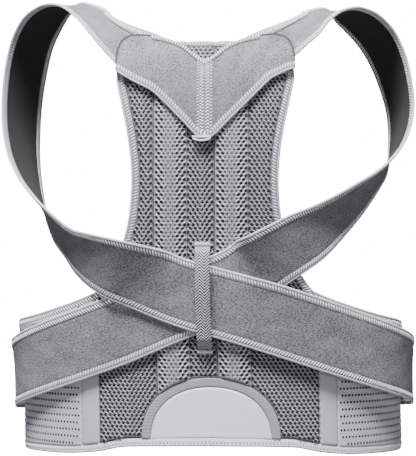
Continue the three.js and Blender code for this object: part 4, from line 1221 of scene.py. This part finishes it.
# %% [markdown]
# ## The sewn band beside the neck
# Where a strap leaves the yoke, a stitched band lies along its neck side, almost twice as wide as
# the binding. The strap's own surface function gives the band its place: it is read over a short
# share of the length, lifted off the felt, and narrows to about the binding's width at its far end.

# %% The wide sewn band beside the neck, where each strap leaves the yoke
NECK_WIDTH, NECK_END, NECK_INSET, NECK_WALL = 12.0, 0.068, 0.8, 1.0
NECK_RISE = max(FELT_WALL, TAPE_WALL) / 2 + 0.3


def neck_band(name):
    def point_at(v, u):
        width = NECK_WIDTH * (1 - 0.5 * np.clip(2.5 * v - 1.5, 0, 1) ** 2)
        across = -(EDGE - NECK_INSET - (1 - u) * width)
        return strap_points(STRAPS[name], v * NECK_END, across)
    return point_at


for name in ("left", "right"):
    EDGES["neck_band_" + name] = neck_band(name)
    half = rounded(61, 11, NECK_WALL, 1, 3)
    band = sheet_piece("neck_band_" + name, surface(60, 10, neck_band(name)), NECK_RISE + half,
                       NECK_RISE - half, [SHADED_GROUND])
    declare(band, [], "tape")

# %% [markdown]
# ## The keeper and the lumbar patch
# A webbing loop holds the crossing flat to the back, sewn down by a bar tack at each end. Below it
# a smooth coated patch is edged with a sewn border. Straight blocks set on top would leave gaps, so
# both are thin sheets: the patch follows the panel, and the webbing arches over the straps.

# %% Keeper
KEEPER_PATH = [[0.00, 0.00], [0.02, 0.50], [0.05, 1.00], [0.20, 1.00], [0.50, 1.00], [0.80, 1.00],
               [0.90, 1.00], [0.96, 0.45], [1.00, 0.00]]
KEEPER_ARCH = 8.0             # how far the webbing stands off the straps
ARCH_HIGH = 0.6               # below 1 the arch is highest above the middle
KEEPER_TACKS = {"top": KEEPER_TOP + TAPE_GAP, "bottom": KEEPER_BOTTOM - TAPE_GAP - TACK_LENGTH}


def keeper_point(v, u):
    x = KEEPER_SHIFT + (u - 0.5) * KEEPER_WIDTH
    z = KEEPER_TOP * (1 - v) + KEEPER_BOTTOM * v
    risen = np.clip(look_up(KEEPER_PATH, v, 1), 0, 1)
    arch = KEEPER_ARCH * np.sin(math.pi * v**ARCH_HIGH)
    return back_point(x, z, KEEPER_LOW * (1 - risen) + (KEEPER_HIGH + arch) * risen)


def tack_point(low):
    return lambda v, u: back_point(KEEPER_SHIFT + (u - 0.5) * KEEPER_WIDTH, low + v * TACK_LENGTH, KEEPER_LOW)


half = rounded(121, 13, WEBBING_WALL, 0, 1)
keeper = sheet_piece("keeper", surface(120, 12, keeper_point), half, -half, [WEBBING])
tacks = []
for name, low in KEEPER_TACKS.items():
    half = rounded(7, 15, WEBBING_WALL, 2, 2)
    tack = sheet_piece("keeper_end_" + name, surface(6, 14, tack_point(low)), half, -half, [WEBBING])
    tacks.append(declare(tack, ["keeper_tack_" + name], "webbing"))
declare(keeper, ["keeper_webbing"], "webbing", flat=(KEEPER_WIDTH, 120), held="stretched",
        rests_on=["strap_left"], with_pieces=tacks)

# %% Lumbar patch and its border
PATCH_MIDDLE = PANEL_WALL + LAYER_GAP + PATCH_WALL / 2


def plate_point(v, u):
    inset = PATCH_BORDER + SEAM_GAP
    x = PATCH_SHIFT - (PATCH_WIDTH / 2 - inset) * np.cos(u * math.pi)
    return back_point(x, hem_top(x) + v * np.maximum(patch_top(x, inset), 3.0), PATCH_MIDDLE)


def border_point(v, u):
    turn = v * math.pi
    across = -np.sign(np.cos(turn)) * np.abs(np.cos(turn)) ** (2 / PATCH_POWER)
    up = np.abs(np.sin(turn)) ** (2 / PATCH_POWER)
    x = PATCH_SHIFT + across * (PATCH_WIDTH / 2 - u * PATCH_BORDER)
    return back_point(x, hem_top(x) + up * (PATCH_HEIGHT - u * PATCH_BORDER), PATCH_MIDDLE)


half = rounded(31, 81, PATCH_WALL, 2, 0, edge=0.6)
plate = sheet_piece("patch_plate", surface(30, 80, plate_point), half, -half, [PATCH])
half = rounded(161, 9, PATCH_WALL, 0, 2, edge=0.5)
border = sheet_piece("patch_edge", surface(160, 8, border_point), half, -half, [BORDER])
declare(border, ["patch_border"], "cloth")
declare(plate, ["lumbar_patch"], "patch", flat=(115, 49), area=0.0046, held="stretched",
        rests_on=["back_mesh"], with_pieces=[border])

# %% [markdown]
# ## The belt
# A plain strip joins the mesh to wide perforated elastic on each side, and two firm front panels
# close over each other. All of them lie on the same rounded waist, so one function of distance and
# height places them; only its limits change.

# %% Belt sides
ELASTIC_START = STRIP_WIDTH + SEAM_GAP
ELASTIC_END = ELASTIC_START + ELASTIC_LENGTH
FRONT_START = ELASTIC_END + SEAM_GAP
FRONT_END = HALF_GIRTH - PANEL_ARC + FRONT_OVERLAP / 2


def belt_stretch(side, start, end):
    def point_at(v, u):
        reach = start + (end - start) * u
        arc = PANEL_ARC + reach
        low = hem_height(arc) + HEM_TAPE
        return belt_point(side, reach, low * (1 - v) + (belt_top(arc) - TAPE_WIDTH) * v, BELT_MIDDLE)
    return point_at


BELT_TUCK = 7.0               # the top binding starts over the panel's own binding


def belt_tape(side):
    def point_at(v, u):
        reach = ELASTIC_END * v - BELT_TUCK * (1 - v)
        z = belt_top(PANEL_ARC + reach) - (1 - u) * (TAPE_WIDTH + TAPE_GAP)
        return belt_point(side, reach, z, BELT_MIDDLE)
    return point_at


def front_point(side):
    def point_at(v, u):
        reach = FRONT_START + (FRONT_END - FRONT_START) * np.sin(u * math.pi / 2)
        past = np.maximum(reach - (FRONT_END - FRONT_CORNER), 0) / FRONT_CORNER
        cut = FRONT_CORNER * (1 - np.sqrt(np.maximum(1 - past * past, 0)))
        arc = PANEL_ARC + reach
        lap = HALF_GIRTH - PANEL_ARC - FRONT_OVERLAP / 2
        over = smooth_step(reach, lap - LAP_START, lap - LAP_END) if side > 0 else 0 * reach
        z = (hem_height(arc) + cut) * (1 - v) + (belt_top(arc) - cut) * v
        return belt_point(side, reach, z, BELT_MIDDLE + (OVER_MIDDLE - BELT_MIDDLE) * over)
    return point_at


for side, name in ((-1, "left"), (1, "right")):
    half = rounded(41, 13, BELT_WALL, 0, 1, edge=0.7)
    strip = sheet_piece("strip_" + name, surface(40, 12, belt_stretch(side, 0, STRIP_WIDTH)),
                        half, -half, [PLAIN])
    declare(strip, ["belt_strip_" + name], "cloth", flat=(STRIP_WIDTH, 140), held="stretched")
    half = rounded(61, 101, BELT_WALL, 0, 1, edge=0.7)
    elastic = sheet_piece("elastic_" + name, surface(60, 100, belt_stretch(side, ELASTIC_START, ELASTIC_END)),
                          half, -half, [ELASTIC])
    binding = tape_piece("belt_binding_" + name, ["belt_top_tape_" + name], 160, belt_tape(side))
    declare(elastic, ["belt_elastic_" + name], "elastic", flat=(ELASTIC_LENGTH, 118), held="stretched",
            with_pieces=[binding])
    half = rounded(41, 81, FRONT_WALL, 2, 1)
    front = sheet_piece("front_" + name, surface(40, 80, front_point(side)), half, -half, [PLAIN])
    declare(front, ["belt_front_" + name], "cloth", flat=(197, 112), held="stretched")

# %% [markdown]
# ## The hem binding and the hook pads
# One binding closes the lower edge from elastic to elastic. In the middle it also covers the foot of
# the patch, so it rises there by a little more than the patch is thick. A short tape laid on top
# would do that too, but its ends would show. Dark hook tape at the straps' ends and between the
# fronts holds the brace closed.

# %% Hem binding, and the hook pads
HEM_REACH = PANEL_ARC + ELASTIC_END
HEM_RISE, HEM_RISE_HALF = 2.4, 72.0
HEM_RISE_POWER = 8            # how abruptly the hem comes down again beside the patch


def hem_point(v, u):
    arc = (2 * v - 1) * HEM_REACH
    z = hem_height(np.abs(arc)) + (1 - u) * (HEM_TAPE + TAPE_GAP)
    past = np.maximum(np.abs(arc) - PANEL_ARC, 0)
    turned = edge_angle(z) + angle_at(PANEL_ARC + past) - angle_at(PANEL_ARC)
    inside = edge_angle(z) * angle_at(np.abs(arc)) / angle_at(PANEL_ARC)
    over_patch = 1 / (1 + (arc / HEM_RISE_HALF) ** HEM_RISE_POWER)
    level = BELT_MIDDLE + HEM_RISE * over_patch
    return point_round(np.sign(arc) * np.where(past > 0, turned, inside), z, level)


def strap_pad_point(wrap, side):
    def point_at(v, u):
        arc = STRAP_REACH - PAD_LENGTH * (1 - u) - TAPE_WIDTH
        middle = HEIGHT * look_up(wrap, arc / STRAP_REACH, 1)
        z = middle + (v - 0.5) * (STRAP_WIDTH - 2 * PAD_MARGIN)
        return point_round(side * angle_at(arc), z, BELT_WALL + LAYER_GAP + HOOK_WALL / 2)
    return point_at


def front_pad_point(v, u):
    reach = HALF_GIRTH - PANEL_ARC + (u - 0.5) * (FRONT_OVERLAP - 2 * HOOK_MARGIN)
    z = (hem_height(HALF_GIRTH) + belt_top(HALF_GIRTH)) / 2 + (v - 0.5) * HOOK_WIDTH
    return belt_point(1, reach, z, BELT_MIDDLE + FRONT_WALL / 2 + LAYER_GAP + HOOK_WALL / 2)


tape_piece("hem_binding", ["hem_tape"], 460, hem_point, ground=THREAD)
for name, node, point_at in (("pad_left", "strap_pad_left", strap_pad_point(LEFT_WRAP, 1)),
                             ("pad_right", "strap_pad_right", strap_pad_point(RIGHT_WRAP, -1)),
                             ("front_pad", "front_hook_pad", front_pad_point)):
    half = rounded(21, 21, HOOK_WALL, 1, 1)
    declare(sheet_piece(name, surface(20, 20, point_at), half, -half, [HOOK]), [node], "hook")

# %% [markdown]
# ## Sewing the edges
# The overlock runs along the flat part of each bound edge, beside the roll. On the straps it shows
# on both faces, because the straps turn their inner side to the viewer in the loops. Each line of
# stitches starts as a few hundred points on the cloth, with the way out and the way along.

# %% Points that lie on a cloth
def on_cloth(point_at, v, u, lift, face=1, step=0.002):
    """Points lifted off a cloth, the way out from it, and the way along its rows."""
    points = point_at(v, u)
    along = point_at(v + step, u) - point_at(v - step, u)
    over = point_at(v, u + step) - point_at(v, u - step)
    out = np.cross(along, over)
    out /= np.maximum(np.linalg.norm(out, axis=-1, keepdims=True), 1e-9)
    if (out * (points - [0, 0, HEIGHT / 2])).sum() < 0:
        out = -out
    out = out * face
    along /= np.maximum(np.linalg.norm(along, axis=-1, keepdims=True), 1e-9)
    return points + out * lift, out, along


def sew(name, lines, slot="tape", **sizes):
    """Stitches along lines on cloths. A line is (point_at, its place across, lift, face, slant)."""
    pieces = []
    for number, (point_at, u, lift, face, slant) in enumerate(lines):
        v = np.linspace(0.004, 0.996, 300)
        points, out, row = on_cloth(point_at, v, np.full_like(v, u), lift, face)
        edges = [(i, i + 1) for i in range(len(v) - 1)]
        pieces.append(run_tree(name, STITCH_TREE, points, {"out": out, "row": row}, edges,
                               Slant=slant, Seed=number, Thread=THREAD, **sizes))
    whole = join_pieces(name, pieces)
    return declare(whole, [], slot)


# %% Overlock, chain and hem stitches
OVERLOCK = {"Pitch": 0.0029, "Length": 0.0056, "Width": 0.0015, "Height": 0.0012}
WIDE_OVERLOCK = dict(OVERLOCK, Length=0.0095)
CHAIN = {"Pitch": 0.0030, "Length": 0.0034, "Width": 0.0012, "Height": 0.0016}
HEM_STITCH = {"Pitch": 0.0036, "Length": 0.0042, "Width": 0.0014, "Height": 0.0014}
TACK_STITCH = {"Pitch": 0.0009, "Length": 0.0038, "Width": 0.0009, "Height": 0.0009}
CHAIN_COLUMNS = ((0.22, 0.7), (0.46, -0.7), (0.82, 0.5))     # each one's place across, and its slant
SLANT = 0.5                   # radians
FLAT_LIFT, BAND_LIFT, NECK_LIFT = 1.2, 1.1, NECK_RISE + 0.7
FLAT_MIDDLE, BAND_MIDDLE = 0.35, 0.5     # the stitches' place across a binding and across a band
HANDS = (("left", SLANT), ("right", -SLANT))


def both_sides(edge, across, lift):
    """One line of stitches on the left and its mirror on the right."""
    return [(EDGES[edge + name], across, lift, 1, slant) for name, slant in HANDS]


for name in ("left", "right"):
    lines = []
    for edge, slant in (("outer", SLANT), ("inner", -SLANT)):
        point_at = EDGES["strap_%s_binding_%s" % (edge, name)]
        lines += [(point_at, FLAT_MIDDLE, FLAT_LIFT, face, face * slant) for face in (1, -1)]
    sew("strap_stitches_" + name, lines, **OVERLOCK)
sew("panel_stitches", both_sides("panel_binding_", FLAT_MIDDLE, FLAT_LIFT), **OVERLOCK)
sew("wing_stitches", both_sides("wing_binding_", FLAT_MIDDLE, FLAT_LIFT), **OVERLOCK)
sew("centre_stitches", [(EDGES["centre_binding_" + name], across, FLAT_LIFT, 1, slant)
                        for name in ("left", "right") for across, slant in CHAIN_COLUMNS], **CHAIN)
sew("yoke_top_stitches", both_sides("wing_band_", BAND_MIDDLE, BAND_LIFT), **OVERLOCK)
sew("neck_stitches", both_sides("neck_band_", BAND_MIDDLE, NECK_LIFT), **WIDE_OVERLOCK)
sew("panel_top_stitches", [(EDGES["panel_top_band"], BAND_MIDDLE, BAND_LIFT, 1, SLANT)], **OVERLOCK)
sew("belt_stitches", both_sides("belt_binding_", FLAT_MIDDLE, FLAT_LIFT), **OVERLOCK)
sew("hem_stitches", [(EDGES["hem_binding"], FLAT_MIDDLE, FLAT_LIFT, 1, SLANT)], **HEM_STITCH)

# %% Bar tacks at the keeper's ends
def across_tack(low):
    """The same tack with its two directions swapped, so that a row runs across the webbing."""
    return lambda v, u: tack_point(low)(u, v)


sew("tack_stitches", [(across_tack(low), BAND_MIDDLE, WEBBING_WALL / 2, 1, 0.15)
                      for low in KEEPER_TACKS.values()],
    slot="webbing", **TACK_STITCH)

# %% [markdown]
# ## Holes in the mesh and the elastic
# Air mesh is full of small round holes in staggered rows, each with a rim of yarn and a strand
# beside it, painted bright as a highlight on the pockets' flanks and dim as shade on the panel. An
# image would do from far away, but rims that stand up catch the light as the real ones do. The holes
# start as points laid out in rows; the second tree puts a rim, a dark disc of painted shade and a
# strand on each. The discs lie on the cloth: cutting thousands of real holes would be slow.

# %% Mesh holes
HOLE_PITCH, HOLE_ROW = 4.3, 3.56
SQUEEZE_REACH = 7.0           # how far from a seam the holes are drawn together
SQUEEZE = 0.3
HOLE_LEAN = 0.6               # radians
HOLE_LIFT = 0.05
HOLE_STEP = 0.5               # how far beside a hole the cloth's slope is read
SEAM_CLEAR, EDGE_CLEAR, HEM_CLEAR, PATCH_CLEAR, YOKE_CLEAR = 1.2, 1.6, 2.0, 1.5, 6.0
POCKET_END, FLANK_START = 8.0, 0.42
PANEL_HOLE = {"Radius": 0.0014, "Rim": 0.0002, "Stretch": 1.5, "Strand": 0.0006, "Apart": 0.0021}
FLANK_HOLE = {"Radius": 0.0013, "Rim": 0.0002, "Stretch": 1.45, "Strand": 0.00055, "Apart": 0.0021}
MIDDLE_HOLE = {"Radius": 0.0012, "Rim": 0.0002}
ELASTIC_HOLE = {"Radius": 0.00115, "Rim": 0.00015}


def staggered(low_x, high_x, low_z, high_z, pitch, row):
    """Points in rows, every second row moved on by half a pitch."""
    rows = np.arange(math.ceil(low_z / row), math.floor(high_z / row) + 1)
    columns = np.arange(math.floor(low_x / pitch), math.ceil(high_x / pitch) + 1)
    k, j = np.meshgrid(columns, rows)
    x = (k + 0.5 * (j % 2)) * pitch
    return x.ravel(), (j * row).ravel().astype(float)


def from_seam(x, z):
    """The distance to the nearest sewn seam, positive to its right."""
    gaps = x[None] - seam_lines(z)[1:-1]
    return np.take_along_axis(gaps, np.abs(gaps).argmin(axis=0)[None], 0)[0]


def squeezed(x, z):
    """Holes beside a seam are drawn towards it, as the knit is there."""
    gap = from_seam(x, z)
    away = np.abs(gap)
    near = away * (1 - SQUEEZE + SQUEEZE * away / SQUEEZE_REACH)
    return np.where(away < SQUEEZE_REACH, x - gap + np.sign(gap) * near, x)


def open_holes(name, point_at, v, u, lift, slot, lean=0.0, yarn=None, shadow=None, strands=None, **sizes):
    """Holes at points of a cloth, each turned in the cloth by its own lean, in radians."""
    points, out, row = on_cloth(point_at, v, u, lift, step=HOLE_STEP)
    lean = np.broadcast_to(lean, points.shape[:-1])[..., None]
    row = row * np.cos(lean) + np.cross(out, row) * np.sin(lean)
    piece = run_tree(name, HOLE_TREE, points, {"out": out, "row": row}, [], Yarn=yarn or KNIT_RIM,
                     Shadow=shadow or DARK, Strands=strands or YARN_HIGHLIGHT, **sizes)
    print(name, len(points), "holes")
    return declare(piece, [], slot)


def mesh_face(v, u):
    """The outer face of the panel between the pockets and beside them."""
    return back_point(u, v, PANEL_WALL + pillow(channel_share(u, v), PANEL_PUFF) - PANEL_SINK)


def pocket_face(v, u):
    """The outer face of the two pockets."""
    share = np.minimum(np.abs(channel_share(u, v)), 1)
    return back_point(u, v, POCKET_BASE + POCKET_RIM + pillow(share, POCKET_RISE - POCKET_RIM))


x, z = staggered(-PANEL_HALF, PANEL_HALF, 0, PANEL_TOP - 3, HOLE_PITCH, HOLE_ROW)
x = squeezed(x, z)
low_left, high_left, low_right, high_right = seam_lines(z)[1:-1]
padded = ((x > low_left) & (x < high_left)) | ((x > low_right) & (x < high_right))
padded &= z < beside_bottom(x, POCKET_END)
clear = np.abs(from_seam(x, z)) > SEAM_CLEAR
clear &= (np.abs(x) < panel_half(z) - panel_inset(z) - EDGE_CLEAR) & (z > hem_top(x) + HEM_CLEAR)
clear &= (np.abs(x - PATCH_SHIFT) > PATCH_WIDTH / 2) | (z > hem_top(x) + patch_top(x, 0) + PATCH_CLEAR)
clear &= (z < beside_bottom(x, YOKE_CLEAR)) | (z > wing_top(x) - 3) | (np.abs(x) > WING_LENGTH)
flank = np.abs(channel_share(x, z)) > FLANK_START

# the knit leans away from each seam, so a channel shows a V and a seam an arrow that points up
lean = np.where((channel_share(x, z) < 0) | (x > high_right), -HOLE_LEAN, HOLE_LEAN)
for name, half in (("left", x < 0), ("right", x >= 0)):
    keep = clear & ~padded & half
    # the panel's strands take the shaded copy of the yarn: painted shade
    open_holes("panel_holes_" + name, mesh_face, z[keep], x[keep], HOLE_LIFT, "mesh", lean=lean[keep],
               strands=SHADED_YARN, **PANEL_HOLE)
keep = clear & padded & flank
open_holes("pocket_flank_holes", pocket_face, z[keep], x[keep], HOLE_LIFT, "mesh", lean=lean[keep],
           **FLANK_HOLE)
keep = clear & padded & ~flank
# the middle holes get the lighter painted shade
open_holes("pocket_middle_holes", pocket_face, z[keep], x[keep], HOLE_LIFT, "mesh", shadow=SHADE,
           **MIDDLE_HOLE)

# %% Perforated elastic
DOT_PITCH, DOT_ROW = 3.6, 6.6
for side, name in ((-1, "left"), (1, "right")):
    reach, z = staggered(ELASTIC_START + 3, ELASTIC_END - 3, -20, 140, DOT_PITCH, DOT_ROW)
    arc = PANEL_ARC + reach
    inside = (reach > ELASTIC_START + 2) & (reach < ELASTIC_END - 2)
    inside &= (z > hem_height(arc) + HEM_TAPE + 3) & (z < belt_top(arc) - TAPE_WIDTH - 3)

    def elastic_at(v, u, side=side):
        return belt_point(side, u, v, BELT_MIDDLE)

    open_holes("elastic_holes_" + name, elastic_at, z[inside], reach[inside], BELT_WALL / 2 + HOLE_LIFT,
               "elastic", yarn=ELASTIC_RIM, **ELASTIC_HOLE)
